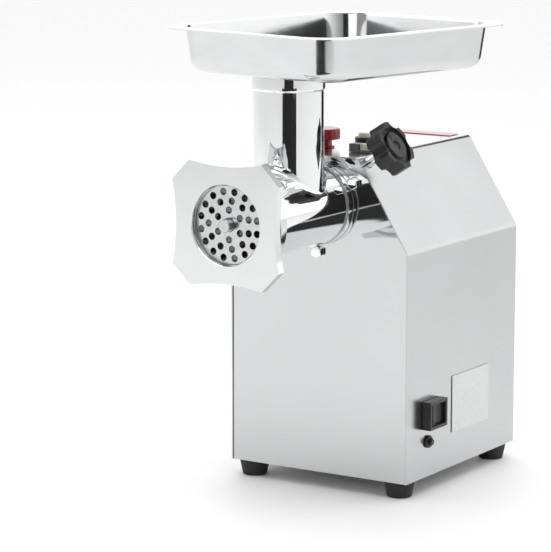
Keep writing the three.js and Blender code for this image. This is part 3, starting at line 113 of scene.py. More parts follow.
def smooth_over(obj, angle):
    """Shades smooth up to the angle, and keeps broad flat faces flat beside small roundings."""
    only(obj)
    bpy.ops.object.shade_smooth_by_angle(angle=radians(angle))
    modifier = obj.modifiers.new("flats", "WEIGHTED_NORMAL")
    modifier.keep_sharp = True
    modifier.weight = 100
    bpy.ops.object.modifier_apply(modifier=modifier.name)


def pick_faces(obj, test):
    """Selects the faces whose centre and normal pass the test."""
    only(obj)
    bpy.ops.object.mode_set(mode="EDIT")
    bpy.ops.mesh.select_mode(type="FACE")
    bpy.ops.mesh.select_all(action="DESELECT")
    bpy.ops.object.mode_set(mode="OBJECT")
    for face in obj.data.polygons:
        face.select = test(face.center, face.normal)
    bpy.ops.object.mode_set(mode="EDIT")


def pick_edges(obj, test):
    """Selects the edges whose two ends pass the test."""
    only(obj)
    bpy.ops.object.mode_set(mode="EDIT")
    bpy.ops.mesh.select_mode(type="EDGE")
    bpy.ops.mesh.select_all(action="DESELECT")
    bpy.ops.object.mode_set(mode="OBJECT")
    points = obj.data.vertices
    for edge in obj.data.edges:
        edge.select = test(*(points[i].co for i in edge.vertices))
    bpy.ops.object.mode_set(mode="EDIT")


def surface(name, colour, metallic, rough, grain=60, stretch=(1, 1, 1), tone=0.05, wear=0.04,
            relief=0.0, relief_scale=400, coat=0.0):
    """Shader of a finish: base colour and roughness drift with fine noise, plus a slight relief."""
    material = bpy.data.materials.new(name)
    material.use_nodes = True
    nodes, links = material.node_tree.nodes, material.node_tree.links
    shader = nodes["Principled BSDF"]
    shader.inputs["Metallic"].default_value = metallic
    shader.inputs["Coat Weight"].default_value = coat
    place = nodes.new("ShaderNodeTexCoord")
    mapping = nodes.new("ShaderNodeMapping")
    mapping.inputs["Scale"].default_value = stretch
    links.new(place.outputs["Object"], mapping.inputs["Vector"])
    noise = nodes.new("ShaderNodeTexNoise")
    noise.inputs["Scale"].default_value = grain
    noise.inputs["Detail"].default_value = 4
    links.new(mapping.outputs["Vector"], noise.inputs["Vector"])
    ramp = nodes.new("ShaderNodeValToRGB")
    dark = [c * (1 - tone) for c in colour]
    light = [min(1, c * (1 + tone)) for c in colour]
    ramp.color_ramp.elements[0].position = 0.3
    ramp.color_ramp.elements[0].color = (*dark, 1)
    ramp.color_ramp.elements[1].position = 0.7
    ramp.color_ramp.elements[1].color = (*light, 1)
    links.new(noise.outputs["Fac"], ramp.inputs["Fac"])
    links.new(ramp.outputs["Color"], shader.inputs["Base Color"])
    spread = nodes.new("ShaderNodeMapRange")
    spread.inputs["From Min"].default_value = 0.3
    spread.inputs["From Max"].default_value = 0.7
    spread.inputs["To Min"].default_value = max(0.015, rough - wear)
    spread.inputs["To Max"].default_value = rough + wear
    smudge = nodes.new("ShaderNodeTexNoise")
    smudge.inputs["Scale"].default_value = grain * 0.35
    smudge.inputs["Detail"].default_value = 5
    links.new(mapping.outputs["Vector"], smudge.inputs["Vector"])
    links.new(smudge.outputs["Fac"], spread.inputs["Value"])
    links.new(spread.outputs["Result"], shader.inputs["Roughness"])
    if relief:
        fine = nodes.new("ShaderNodeTexNoise")
        fine.inputs["Scale"].default_value = relief_scale
        fine.inputs["Detail"].default_value = 3
        links.new(mapping.outputs["Vector"], fine.inputs["Vector"])
        bump = nodes.new("ShaderNodeBump")
        bump.inputs["Strength"].default_value = 0.25
        bump.inputs["Distance"].default_value = relief
        links.new(fine.outputs["Fac"], bump.inputs["Height"])
        links.new(bump.outputs["Normal"], shader.inputs["Normal"])
    return material


def wear_finish(obj, material):
    obj.data.materials.clear()
    obj.data.materials.append(material)


cover_low, cover_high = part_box("housing_cover")
panel_front = cover_low.y
middle_x = (cover_low.x + cover_high.x) / 2
half_width = (cover_high.x - cover_low.x) / 2
body_low, body_top = cover_low.z, cover_high.z
HALF_TOP, SHOULDER_HEIGHT = 0.040, 0.202
COVER_SHEET, COVER_BEND = 0.0012, 0.0028
bend_height = body_low + SHOULDER_HEIGHT
shoulder_up = Vector((-(half_width - HALF_TOP), 0, body_top - bend_height)).normalized()
shoulder_out = Vector((shoulder_up.z, 0, -shoulder_up.x))


def house_block(name, front, back, inset, low):
    """Solid of the housing's cross-section, cut from a block by two sloping planes."""
    half = half_width - inset
    solid = block(name, (middle_x - half, front, low), (middle_x + half, back, body_top - inset))
    for side in (1, -1):
        out = Vector((side * shoulder_out.x, 0, shoulder_out.z))
        bend = Vector((middle_x + side * half_width, 0, bend_height)) - out * inset
        only(solid)
        bpy.ops.object.mode_set(mode="EDIT")
        bpy.ops.mesh.select_all(action="SELECT")
        bpy.ops.mesh.bisect(plane_co=bend, plane_no=out, use_fill=True, clear_outer=True)
        bpy.ops.object.mode_set(mode="OBJECT")
    return solid


cover = house_block("cover_shell", cover_low.y, cover_high.y, 0, body_low)
pick_faces(cover, lambda at, normal: abs(normal.y) > 0.9 or normal.z < -0.9)
bpy.ops.mesh.delete(type="FACE")
pick_edges(cover, lambda a, b: abs(a.y - b.y) > 0.1 and min(a.z, b.z) > body_low + 0.01)
bpy.ops.mesh.bevel(offset=COVER_BEND, segments=5, affect="EDGES")
bpy.ops.object.mode_set(mode="OBJECT")
sheet = cover.modifiers.new("sheet", "SOLIDIFY")
sheet.thickness = COVER_SHEET
sheet.offset = -1
bpy.ops.object.modifier_apply(modifier=sheet.name)

KNOB_FROM_PANEL, KNOB_BELOW_BEND = 0.012, 0.0062
KNOB_HOLE, STOP_HOLE, START_HOLE, RESET_HOLE = 0.0049, 0.0071, 0.0081, 0.0049
SWITCH_LIP, KEY_LIP, KEY_SHELF = 0.0017, 0.0003, 0.0084
DRILL_REACH = 0.004
knob_axis = shoulder_out.copy()
knob_edge = Vector((middle_x + HALF_TOP, panel_front + KNOB_FROM_PANEL, body_top))
knob_base = knob_edge - shoulder_up * KNOB_BELOW_BEND
stop_at = Vector((middle_x - 0.0232, panel_front + 0.0481, body_top))
start_at = Vector((middle_x - 0.016, panel_front + 0.106, body_top))
reset_at = Vector((middle_x + half_width, panel_front + 0.0375, body_low + 0.0314))
UP, OUT_X = Vector((0, 0, 1)), Vector((1, 0, 0))
for radius, at, axis in (
    (KNOB_HOLE, knob_base, knob_axis),
    (STOP_HOLE, stop_at, UP),
    (START_HOLE, start_at, UP),
    (RESET_HOLE, reset_at, OUT_X),
):
    carve(cover, turned("drill", [(radius, -DRILL_REACH), (radius, DRILL_REACH)], at, axis, 40))
switch_low, switch_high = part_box("switch_bezel")
carve(cover, block(
    "drill",
    (reset_at.x - DRILL_REACH, switch_low.y + SWITCH_LIP, switch_low.z + SWITCH_LIP),
    (reset_at.x + DRILL_REACH, switch_high.y - SWITCH_LIP, switch_high.z - SWITCH_LIP)))
key_low, key_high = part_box("key_block")
carve(cover, block(
    "drill",
    (key_low.x + KEY_SHELF, key_low.y + KEY_LIP, body_top - DRILL_REACH),
    (key_high.x - KEY_LIP, key_high.y - KEY_LIP, body_top + DRILL_REACH)))
smooth_over(cover, 30)
polished_sheet = surface("polished sheet", (0.54, 0.545, 0.55), 1, 0.24, grain=14, tone=0.02,
                         wear=0.04, relief=0.00004, relief_scale=9)
wear_finish(cover, polished_sheet)
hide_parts("housing_cover")
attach(cover, "base")


# ---- Front and rear panels, base plate ----------------------------------------------------------
# The front panel is mirror-polished sheet set just inside the cover's edge, round the nose.
# The rear panel carries the vent slots and the mains inlet; the base plate closes the bottom.

NOSE_HOLE, BOLT_CIRCLE, BOLT_HOLE = 0.0357, 0.0417, 0.0033
PANEL_INSET, PANEL_DRILL, DRIVE_HEIGHT = 0.0015, 0.01, 0.2384
drive = Vector((middle_x, 0, body_low + DRIVE_HEIGHT))
bolt_places = [drive + Vector((BOLT_CIRCLE * cos(radians(a)), 0, BOLT_CIRCLE * sin(radians(a))))
               for a in (-90, 30, 150)]
FORWARD = Vector((0, -1, 0))
panel_low, panel_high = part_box("front_panel")
panel = house_block("mirror_panel", panel_low.y, panel_high.y, PANEL_INSET, panel_low.z)
carve(panel, turned("drill", [(NOSE_HOLE, -PANEL_DRILL), (NOSE_HOLE, PANEL_DRILL)],
                    (drive.x, panel_low.y, drive.z), FORWARD, 96))
for place in bolt_places:
    carve(panel, turned("drill", [(BOLT_HOLE, -PANEL_DRILL), (BOLT_HOLE, PANEL_DRILL)],
                        (place.x, panel_low.y, place.z), FORWARD, 24))
smooth_over(panel, 20)
mirror_sheet = surface("mirror sheet", (0.6, 0.605, 0.61), 1, 0.045, grain=9, tone=0.015,
                       wear=0.012, relief=0.00003, relief_scale=5)
wear_finish(panel, mirror_sheet)
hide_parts("front_panel")
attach(panel, "base")


def finish_nodes(names, material):
    """Gives a finish to nodes that are shown just as they come from the frame."""
    for name in names:
        wear_finish(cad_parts[name], material)


finish_nodes(("rear_panel", "base_plate"), polished_sheet)


# ---- Rubber feet and their screws ---------------------------------------------------------------
# Four tapered feet moulded in black rubber, each held by a pan-head screw in its hollow.
# They lift the housing off the worktop so that air gets under the base plate.

def soften(obj, width, segments=3, angle=32, smooth=38):
    """Rounds the edges that are sharper than the angle, and shades the rest smooth."""
    only(obj)
    if width:
        modifier = obj.modifiers.new("edge", "BEVEL")
        modifier.width = width
        modifier.segments = segments
        modifier.limit_method = "ANGLE"
        modifier.angle_limit = radians(angle)
        bpy.ops.object.modifier_apply(modifier=modifier.name)
    smooth_over(obj, smooth)


SOLE_RADIUS, SCREW_HOLLOW, HOLLOW_DEPTH, SCREW_HOLE = 0.011, 0.0047, 0.006, 0.0023
foot_rubber = surface("foot rubber", (0.012, 0.012, 0.013), 0, 0.62, grain=120, tone=0.2,
                      wear=0.08, relief=0.00006, relief_scale=900)
screw_steel = surface("screw steel", (0.5, 0.5, 0.51), 1, 0.32, grain=200, tone=0.08)
for corner in ("front_left", "front_right", "rear_left", "rear_right"):
    low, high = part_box("foot_" + corner)
    centre = (low + high) / 2
    top, height = (high.x - low.x) / 2, high.z - low.z
    foot = turned("rubber_foot_" + corner, [
        (SCREW_HOLLOW, HOLLOW_DEPTH), (SCREW_HOLLOW, 0),
        (SOLE_RADIUS - 0.0008, 0), (SOLE_RADIUS, 0.0008),
        (top - 0.0005, height - 0.0018), (top - 0.0003, height - 0.0004), (top - 0.0008, height),
        (SCREW_HOLE, height), (SCREW_HOLE, HOLLOW_DEPTH), (SCREW_HOLLOW, HOLLOW_DEPTH),
    ], (centre.x, centre.y, low.z), UP, 64, hollow=True)
    soften(foot, 0.0003, 2)
    wear_finish(foot, foot_rubber)
    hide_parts("foot_" + corner)
    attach(foot, "base")
    finish_nodes(("foot_screw_" + corner,), screw_steel)


# ---- Nose ring and neck bolts -------------------------------------------------------------------
# The gearbox nose is a cast ring that stands through the front panel and holds the head's tail.
# Three hexagon bolts round it pull the panel and the gearbox flange together.

NOSE_BORE, NOSE_RADIUS, NOSE_DEPTH = 0.0281, 0.0355, 0.0085
nose_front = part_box("gearbox_housing")[0].y
cast_metal = surface("cast aluminium", (0.55, 0.56, 0.57), 1, 0.42, grain=90, tone=0.08,
                     relief=0.0001, relief_scale=500)
bright_casting = surface("bright casting", (0.85, 0.855, 0.86), 1, 0.055, grain=22, tone=0.02,
                         wear=0.02, relief=0.00005, relief_scale=60)
nose = turned("nose_ring", [
    (NOSE_BORE, 0), (0.0340, 0), (0.0352, 0.0012), (NOSE_RADIUS, 0.0030), (NOSE_RADIUS, 0.0060),
    (NOSE_RADIUS, NOSE_DEPTH), (NOSE_BORE, NOSE_DEPTH), (NOSE_BORE, 0),
], (drive.x, nose_front + 0.0001, drive.z), (0, 1, 0), 128, hollow=True)
soften(nose, 0.0003, 2)
wear_finish(nose, bright_casting)
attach(nose, "base")
finish_nodes(("gearbox_housing", "gearbox_cover"), cast_metal)

HEX_RADIUS, HEX_HEIGHT, SHANK_RADIUS = 0.0057, 0.0046, 0.003
for number, place in enumerate(bolt_places, 1):
    low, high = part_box("neck_bolt_%d" % number)
    bolt = turned("hex_bolt_%d" % number, [
        (0.0045, 0), (HEX_RADIUS, 0.0006), (HEX_RADIUS, HEX_HEIGHT),
    ], (place.x, low.y, place.z), (0, 1, 0), 6)
    shank = turned("shank", [(SHANK_RADIUS, 0.0040), (SHANK_RADIUS, high.y - low.y)],
                   (place.x, low.y, place.z), (0, 1, 0), 24)
    carve(bolt, shank, "UNION")
    soften(bolt, 0.00025, 2)
    wear_finish(bolt, bright_casting)
    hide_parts("neck_bolt_%d" % number)
    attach(bolt, "base")


# ---- Grinding head ------------------------------------------------------------------------------
# One polished casting: a barrel with a threaded mouth, an upright feed tube with a collar, a lug.
# Its tail slides into the nose; the bore is open from the tube through to the plate.

MOUTH_RADIUS, BARREL_RADIUS, TAIL_RADIUS = 0.0420, 0.0352, 0.0276
BARREL_BORE, BEARING_BORE, SOCKET_BORE, PLATE_SEAT = 0.0290, 0.0134, 0.0170, 0.0351
TUBE_RADIUS, TUBE_BORE, COLLAR_RADIUS = 0.0301, 0.0255, 0.0314
NUT_REACH, MOUTH_LENGTH = 0.145, 0.025
nut_front = panel_front - NUT_REACH
tube_y = panel_front - 0.0474
tube_top = body_low + 0.3546
tube_rise = tube_top - drive.z
head_back = panel_front - 0.0083
head_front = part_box("head_casting")[0].y


def along(y):
    return y - head_front


head = turned("head_body", [
    (0.0416, 0), (MOUTH_RADIUS, 0.0006), (MOUTH_RADIUS, along(nut_front + MOUTH_LENGTH)),
    (0.0402, along(nut_front + 0.0270)), (0.0372, along(nut_front + 0.0300)),
    (0.0356, along(nut_front + 0.0335)), (BARREL_RADIUS, along(nut_front + 0.0380)),
    (0.0344, along(head_back) - 0.0008), (0.0336, along(head_back)),
    (TAIL_RADIUS, along(head_back)), (TAIL_RADIUS, along(panel_front + 0.0194)),
    (0.0270, along(panel_front + 0.0200)),
], (drive.x, head_front, drive.z), (0, 1, 0), 160)
tube = turned("tube", [
    (0.0304, 0.004), (TUBE_RADIUS, 0.080), (TUBE_RADIUS, tube_rise - 0.0125),
    (0.0313, tube_rise - 0.0113), (COLLAR_RADIUS, tube_rise - 0.0105),
    (COLLAR_RADIUS, tube_rise - 0.0010), (0.0310, tube_rise - 0.0002), (0.0306, tube_rise),
], (drive.x, tube_y, drive.z), UP, 160)
carve(head, tube, "UNION")

# The ring's outer side is an arc that meets the tube and the barrel; its inner side is buried.
FILLET, TUBE_FOOT, BARREL_SIDE = 0.009, 0.0304, 0.0349
ARC_STEPS, INNER_STEPS, ROUND_STEPS = 12, 4, 160
ARC_SINK, INNER_SINK = 1.004, 1.5
ring_steps = ARC_STEPS + INNER_STEPS
nothing_selected()
bpy.ops.mesh.primitive_torus_add(major_radius=0.03, minor_radius=0.01,
                                 major_segments=ROUND_STEPS, minor_segments=ring_steps)
fillet = bpy.context.object
for number, point in enumerate(fillet.data.vertices):
    turn = 2 * pi * (number // ring_steps) / ROUND_STEPS
    step = number % ring_steps
    ball = Vector(((TUBE_FOOT + FILLET) * cos(turn), (TUBE_FOOT + FILLET) * sin(turn), 0))
    ball.z = ((BARREL_SIDE + FILLET) ** 2 - ball.x ** 2) ** 0.5
    to_tube = Vector((-cos(turn), -sin(turn), 0))
    to_barrel = Vector((-ball.x, 0, -ball.z)).normalized()
    if step < ARC_STEPS:
        away = to_tube.slerp(to_barrel, step / (ARC_STEPS - 1)) * FILLET * ARC_SINK
    else:
        share = (step - ARC_STEPS) / (INNER_STEPS - 1)
        away = to_barrel.slerp(to_tube, share) * FILLET * INNER_SINK
    point.co = ball + away
fillet.location = (drive.x, tube_y, drive.z)
settle(fillet, "fillet")
bpy.ops.object.mode_set(mode="EDIT")
bpy.ops.mesh.select_all(action="SELECT")
bpy.ops.mesh.normals_make_consistent(inside=False)
bpy.ops.object.mode_set(mode="OBJECT")
carve(head, fillet, "UNION")

LUG_ANGLE, LUG_OUT, LUG_RADIUS, LUG_LENGTH, LUG_GAP = 42, 0.0465, 0.0047, 0.014, 0.008
lug_axis = Vector((cos(radians(LUG_ANGLE)), 0, sin(radians(LUG_ANGLE))))
lug_front = nut_front + MOUTH_LENGTH + LUG_GAP
lug_centre = drive + lug_axis * LUG_OUT
carve(head, turned("lug", [
    (0.0040, 0), (LUG_RADIUS, 0.0007), (LUG_RADIUS, 0.0133), (0.0040, LUG_LENGTH),
], (lug_centre.x, lug_front, lug_centre.z), (0, 1, 0), 48), "UNION")
web = block("web", (-0.0026, 0, 0.0312), (0.0026, LUG_LENGTH, 0.0462))
web.rotation_euler = (0, radians(90 - LUG_ANGLE), 0)
web.location = (drive.x, lug_front, drive.z)
carve(head, settle(web, "web"), "UNION")
soften(head, 0.0012, 3, angle=40, smooth=40)
bore_end = panel_front + 0.0205
plate_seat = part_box("knife")[1].y + 0.0004
carve(head, turned("bore", [
    (PLATE_SEAT, -0.001), (PLATE_SEAT, along(plate_seat)), (BARREL_BORE, along(plate_seat)),
    (BARREL_BORE, along(head_back) - 0.014), (BEARING_BORE, along(head_back) - 0.014),
    (BEARING_BORE, along(head_back)), (SOCKET_BORE, along(head_back)),
    (SOCKET_BORE, along(bore_end)),
], (drive.x, head_front, drive.z), (0, 1, 0), 128))
carve(head, turned("tube bore", [(TUBE_BORE, 0), (TUBE_BORE, 0.13)],
                   (drive.x, tube_y, drive.z), UP, 128))
smooth_over(head, 32)
wear_finish(head, bright_casting)
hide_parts("head_casting")
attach(head, "head")
finish_nodes(("plate_key_pin",), screw_steel)
bronze = surface("bearing bronze", (0.62, 0.43, 0.2), 1, 0.3, grain=150)
finish_nodes(("thrust_washer",), bronze)


# ---- Perforated plate, knife and screw ----------------------------------------------------------
# The plate is a hardened steel disc drilled in three rings; the knife turns against its back.
# The screw's end pin turns in the plate's middle hole and shows in front of it.

ground_steel = surface("ground steel", (0.62, 0.625, 0.63), 1, 0.22, grain=300, tone=0.06,
                       wear=0.05)
plate_low, plate_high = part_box("grinding_plate")
PLATE_RADIUS, PIN_HOLE, MINCE_HOLE = 0.0348, 0.0059, 0.003
HOLE_RINGS = ((0.0124, 6), (0.0202, 11), (0.028, 16))
depth = plate_high.y - plate_low.y
plate = turned("mincing_plate", [(PLATE_RADIUS - 0.0004, 0), (PLATE_RADIUS, 0.0004),
                                 (PLATE_RADIUS, depth - 0.0004), (PLATE_RADIUS - 0.0004, depth)],
               (drive.x, plate_low.y, drive.z), (0, 1, 0), 128)
drills = [turned("drill", [(PIN_HOLE, -0.001), (PIN_HOLE, depth + 0.001)],
                 (drive.x, plate_low.y, drive.z), (0, 1, 0), 48)]
for ring, count in HOLE_RINGS:
    for i in range(count):
        turn = 2 * pi * (i + 0.5) / count
        at = (drive.x + ring * cos(turn), plate_low.y, drive.z + ring * sin(turn))
        drills.append(turned("drill", [(MINCE_HOLE, -0.001), (MINCE_HOLE, depth + 0.001)],
                             at, (0, 1, 0), 28))
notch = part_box("plate_key_pin")
drills.append(block("drill", (notch[0].x - 0.0003, plate_low.y - 0.001, notch[0].z - 0.0003),
                    (notch[1].x + 0.003, plate_high.y + 0.001, notch[1].z + 0.0003)))
nothing_selected()
for drill in drills:
    drill.select_set(True)
bpy.context.view_layer.objects.active = drills[0]
bpy.ops.object.join()
carve(plate, bpy.context.object)
soften(plate, 0.0002, 2, angle=40)
wear_finish(plate, ground_steel)
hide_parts("grinding_plate")
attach(plate, "head")


def copy_of_node(name, piece):
    """Copies a node that already has the right shape, and closes its seams."""
    copy = bpy.data.objects.new(piece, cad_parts[name].data.copy())
    bpy.context.scene.collection.objects.link(copy)
    only(copy)
    bpy.ops.object.mode_set(mode="EDIT")
    bpy.ops.mesh.select_all(action="SELECT")
    bpy.ops.mesh.remove_doubles(threshold=1e-6)
    bpy.ops.object.mode_set(mode="OBJECT")
    return copy


screw = copy_of_node("auger", "feed_screw_piece")
screw_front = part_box("auger")[0].y
knife_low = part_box("knife")[0]
carve(screw, block("front end", (drive.x - 0.01, screw_front - 0.01, drive.z - 0.01),
                   (drive.x + 0.01, knife_low.y, drive.z + 0.01)))
PIN_RADIUS = 0.0055
carve(screw, turned("pin", [
    (PIN_RADIUS - 0.0010, 0), (PIN_RADIUS - 0.0003, 0.0003), (PIN_RADIUS, 0.0010),
    (PIN_RADIUS, knife_low.y + 0.001 - screw_front),
], (drive.x, screw_front, drive.z), (0, 1, 0), 64), "UNION")
smooth_over(screw, 40)
wear_finish(screw, ground_steel)
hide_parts("auger")
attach(screw, "feed_screw")
finish_nodes(("knife",), ground_steel)


# ---- Ring nut -----------------------------------------------------------------------------------
# A square flange with hollow sides and cut corners, cast with a round threaded skirt behind it.
# It screws onto the head's mouth and holds the plate; the polished face is gripped to undo it.

NUT_WIDTH, NUT_CORNER, NUT_SAG, NUT_PLATE = 0.105, 0.017, 0.0036, 0.008
NUT_OPENING, THREAD_RADIUS, SKIRT_RADIUS = 0.0330, 0.0424, 0.0474
nut_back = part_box("ring_nut")[1].y
half = NUT_WIDTH / 2
nut = block("nut_body", (drive.x - half, nut_front, drive.z - half),
            (drive.x + half, nut_front + NUT_PLATE, drive.z + half))
pick_edges(nut, lambda a, b: abs(a.y - b.y) > 0.005)
bpy.ops.mesh.bevel(offset=NUT_CORNER, segments=1, affect="EDGES")
bpy.ops.object.mode_set(mode="OBJECT")
span = half - NUT_CORNER
scoop = (span ** 2 + NUT_SAG ** 2) / (2 * NUT_SAG)
for side in range(4):
    away = Vector((cos(side * pi / 2), 0, sin(side * pi / 2)))
    centre = drive + away * (half - NUT_SAG + scoop)
    carve(nut, turned("scoop", [(scoop, -0.005), (scoop, 0.02)],
                      (centre.x, nut_front, centre.z), (0, 1, 0), 240))
soften(nut, 0.0016, 4, angle=25, smooth=35)
skirt = turned("skirt", [
    (SKIRT_RADIUS, 0.004), (SKIRT_RADIUS, 0.0095), (0.0464, 0.0115), (0.0456, 0.0150),
    (0.0454, 0.0235), (0.0447, nut_back - nut_front),
], (drive.x, nut_front, drive.z), (0, 1, 0), 160)
carve(nut, skirt, "UNION")
carve(nut, turned("opening", [
    (0.0346, -0.0005), (0.0338, 0.0004), (0.0331, 0.0014), (NUT_OPENING, 0.0026),
    (NUT_OPENING, 0.0056), (THREAD_RADIUS, 0.0056), (THREAD_RADIUS, 0.0300),
], (drive.x, nut_front, drive.z), (0, 1, 0), 160))
smooth_over(nut, 35)
nut_polish = surface("nut polish", (0.72, 0.725, 0.73), 1, 0.12, grain=35, tone=0.02, wear=0.04,
                     relief=0.00004, relief_scale=150)
wear_finish(nut, nut_polish)
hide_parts("ring_nut")
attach(nut, "nut")


# ---- Feed pan -----------------------------------------------------------------------------------
# A pressed stainless tray with a flat rim rolled down at its edge; a short spout drops into the
# feed tube. Nothing holds it there, so it lifts straight off.

PAN_WIDTH, PAN_LENGTH, PAN_CORNER, PAN_RIM, PAN_DEPTH = 0.203, 0.242, 0.031, 0.011, 0.0385
PAN_SHEET, PAN_DRAFT, PAN_FOLD = 0.001, 0.004, 0.010
PAN_WALL_CORNER, TOP_BEND, EDGE_ROLL, OUTLINE_EASE = 0.029, 0.0012, 0.0016, 0.0015
ROLL_DROP, BEND_DROP, BEND_LEAN = 0.0007, 0.0012, 0.0004
SPOUT_OFF_MIDDLE, SPOUT_BORE, SPOUT_RADIUS, SPOUT_REACH = 0.0606, 0.0241, 0.0251, 0.022
PAN_TURN = radians(-10.8)
spout_at = Vector((drive.x, tube_y, tube_top + 0.0003))
rim_face = PAN_DEPTH - PAN_SHEET


def rounded_plate(name, width, length, corner, height):
    """A flat face with round corners."""
    nothing_selected()
    bpy.ops.mesh.primitive_plane_add(size=1, location=(0, 0, height))
    plate = bpy.context.object
    plate.scale = (width, length, 1)
    settle(plate, name)
    bpy.ops.object.mode_set(mode="EDIT")
    bpy.ops.mesh.select_all(action="SELECT")
    bpy.ops.mesh.bevel(offset=corner, segments=16, affect="VERTICES")
    bpy.ops.object.mode_set(mode="OBJECT")
    return plate


width = PAN_WIDTH - OUTLINE_EASE - 2 * EDGE_ROLL
length = PAN_LENGTH - OUTLINE_EASE - 2 * EDGE_ROLL
rim = rounded_plate("rim", width, length, PAN_CORNER - EDGE_ROLL, rim_face)
bpy.ops.object.mode_set(mode="EDIT")
bpy.ops.mesh.select_all(action="SELECT")
bpy.ops.mesh.delete(type="ONLY_FACE")
bpy.ops.object.mode_set(mode="OBJECT")
throat = 2 * (PAN_RIM - TOP_BEND)
pan = rounded_plate("steel_tray", PAN_WIDTH - throat, PAN_LENGTH - throat,
                    PAN_WALL_CORNER + TOP_BEND, rim_face)
rim.select_set(True)
bpy.ops.object.join()
bpy.ops.object.mode_set(mode="EDIT")
bpy.ops.mesh.select_mode(type="EDGE")
bpy.ops.mesh.select_all(action="DESELECT")
bpy.ops.mesh.select_non_manifold()
bpy.ops.mesh.bridge_edge_loops()
bpy.ops.mesh.select_all(action="DESELECT")
bpy.ops.mesh.select_non_manifold()
bpy.ops.mesh.extrude_region_move(TRANSFORM_OT_translate={"value": (0, 0, -ROLL_DROP)})
share = ((width + 2 * EDGE_ROLL) / width, (length + 2 * EDGE_ROLL) / length, 1)
bpy.ops.transform.resize(value=share, center_override=(0, 0, 0))
bpy.ops.object.mode_set(mode="OBJECT")
pick_faces(pan, lambda at, normal: abs(at.x) < 0.01 and abs(at.y) < 0.01)
bpy.ops.mesh.inset(thickness=TOP_BEND, use_even_offset=True)
width, length = PAN_WIDTH - 2 * PAN_RIM, PAN_LENGTH - 2 * PAN_RIM
for drop, lean in ((BEND_DROP, BEND_LEAN), (rim_face - BEND_DROP, PAN_DRAFT)):
    bpy.ops.mesh.extrude_region_move(TRANSFORM_OT_translate={"value": (0, 0, -drop)})
    share = ((width - 2 * lean) / width, (length - 2 * lean) / length, 1)
    bpy.ops.transform.resize(value=share, center_override=(0, 0, 0))
    width, length = width - 2 * lean, length - 2 * lean
bpy.ops.mesh.region_to_loop()
bpy.ops.mesh.bevel(offset=PAN_FOLD, segments=8, affect="EDGES")
bpy.ops.mesh.select_all(action="SELECT")
bpy.ops.mesh.normals_make_consistent(inside=False)
bpy.ops.object.mode_set(mode="OBJECT")
sheet = pan.modifiers.new("sheet", "SOLIDIFY")
sheet.thickness = PAN_SHEET
sheet.offset = 1 if max(pan.data.polygons, key=lambda face: face.area).normal.z > 0 else -1
bpy.ops.object.modifier_apply(modifier=sheet.name)
spout = (0, -SPOUT_OFF_MIDDLE, 0)
carve(pan, turned("hole", [(SPOUT_BORE, -0.004), (SPOUT_BORE, 0.004)], spout, UP, 96))
carve(pan, turned("pipe", [
    (SPOUT_RADIUS, 0.0006), (SPOUT_RADIUS, -SPOUT_REACH), (SPOUT_BORE, -SPOUT_REACH),
    (SPOUT_BORE, 0.0006), (SPOUT_RADIUS, 0.0006),
], spout, UP, 96, hollow=True), "UNION")
pan.data.transform(Matrix.Translation((0, SPOUT_OFF_MIDDLE, 0)))
pan.location = spout_at
pan.rotation_euler = (0, 0, PAN_TURN)
settle(pan, "steel_tray")
smooth_over(pan, 35)
pan_steel = surface("pan steel", (0.64, 0.645, 0.65), 1, 0.14, grain=30, stretch=(1, 1, 3),
                    tone=0.03, wear=0.05, relief=0.00005, relief_scale=220)
wear_finish(pan, pan_steel)
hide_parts("feed_pan")
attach(pan, "pan")


# ---- Star knob and clamp screw ------------------------------------------------------------------
# A six-lobed knob moulded in black plastic on a plated screw, square to the right shoulder.
# Turning it presses the screw on the head's tail and clamps the head in the nose.

KNOB_FACE, KNOB_THICK, KNOB_RADIUS, LOBES = 0.034, 0.016, 0.0220, 6
SCOOP_RADIUS, SCOOP_CIRCLE = 0.0086, 0.0267
knob_black = surface("knob plastic", (0.013, 0.013, 0.014), 0, 0.36, grain=180, tone=0.25,
                     wear=0.07, relief=0.00008, relief_scale=1200)
knob_back = KNOB_FACE - KNOB_THICK
knob = turned("knob", [(KNOB_RADIUS, knob_back), (KNOB_RADIUS, KNOB_FACE - 0.0005)],
              knob_base, knob_axis, 144)
sideways = Vector((0, 1, 0))
for lobe in range(LOBES):
    turn = radians(60 * lobe + 30)
    away = shoulder_up * cos(turn) + sideways * sin(turn)
    carve(knob, turned("scoop", [(SCOOP_RADIUS, 0.005), (SCOOP_RADIUS, 0.04)],
                       knob_base + away * SCOOP_CIRCLE, knob_axis, 64))
soften(knob, 0.0018, 4, angle=30, smooth=40)
carve(knob, turned("hub", [(0.0092, knob_back - 0.0045), (0.0090, knob_back + 0.001)],
                   knob_base, knob_axis, 64), "UNION")
carve(knob, turned("groove", [
    (0.0128, KNOB_FACE - 0.0035), (0.0170, KNOB_FACE - 0.0035), (0.0182, KNOB_FACE + 0.002),
    (0.0112, KNOB_FACE + 0.002), (0.0128, KNOB_FACE - 0.0035),
], knob_base, knob_axis, 96, hollow=True))
carve(knob, turned("dimple", [(0.0040, KNOB_FACE - 0.0015), (0.0052, KNOB_FACE + 0.001)],
                   knob_base, knob_axis, 48))
soften(knob, 0.0004, 2, angle=45, smooth=40)
wear_finish(knob, knob_black)
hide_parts("star_knob")
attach(knob, "clamp")

plated = surface("plated steel", (0.8, 0.8, 0.81), 1, 0.1, grain=80, tone=0.03)
stud = turned("clamp_stud", [
    (0.00422, -0.0008), (0.0045, 0.0005), (0.0045, 0.0130), (0.0042, 0.0136),
], knob_base, knob_axis, 48)
soften(stud, 0.0002, 2)
wear_finish(stud, plated)
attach(stud, "clamp")
finish_nodes(("clamp_screw",), plated)
finish_nodes(("clamp_nut",), plated)


# ---- Buttons on the top -------------------------------------------------------------------------
# A red mushroom button with a fluted cap slides over a red collar on a small return spring.
# Behind it a cream button sits in a black collar; a low block with a cream key is by the knob.

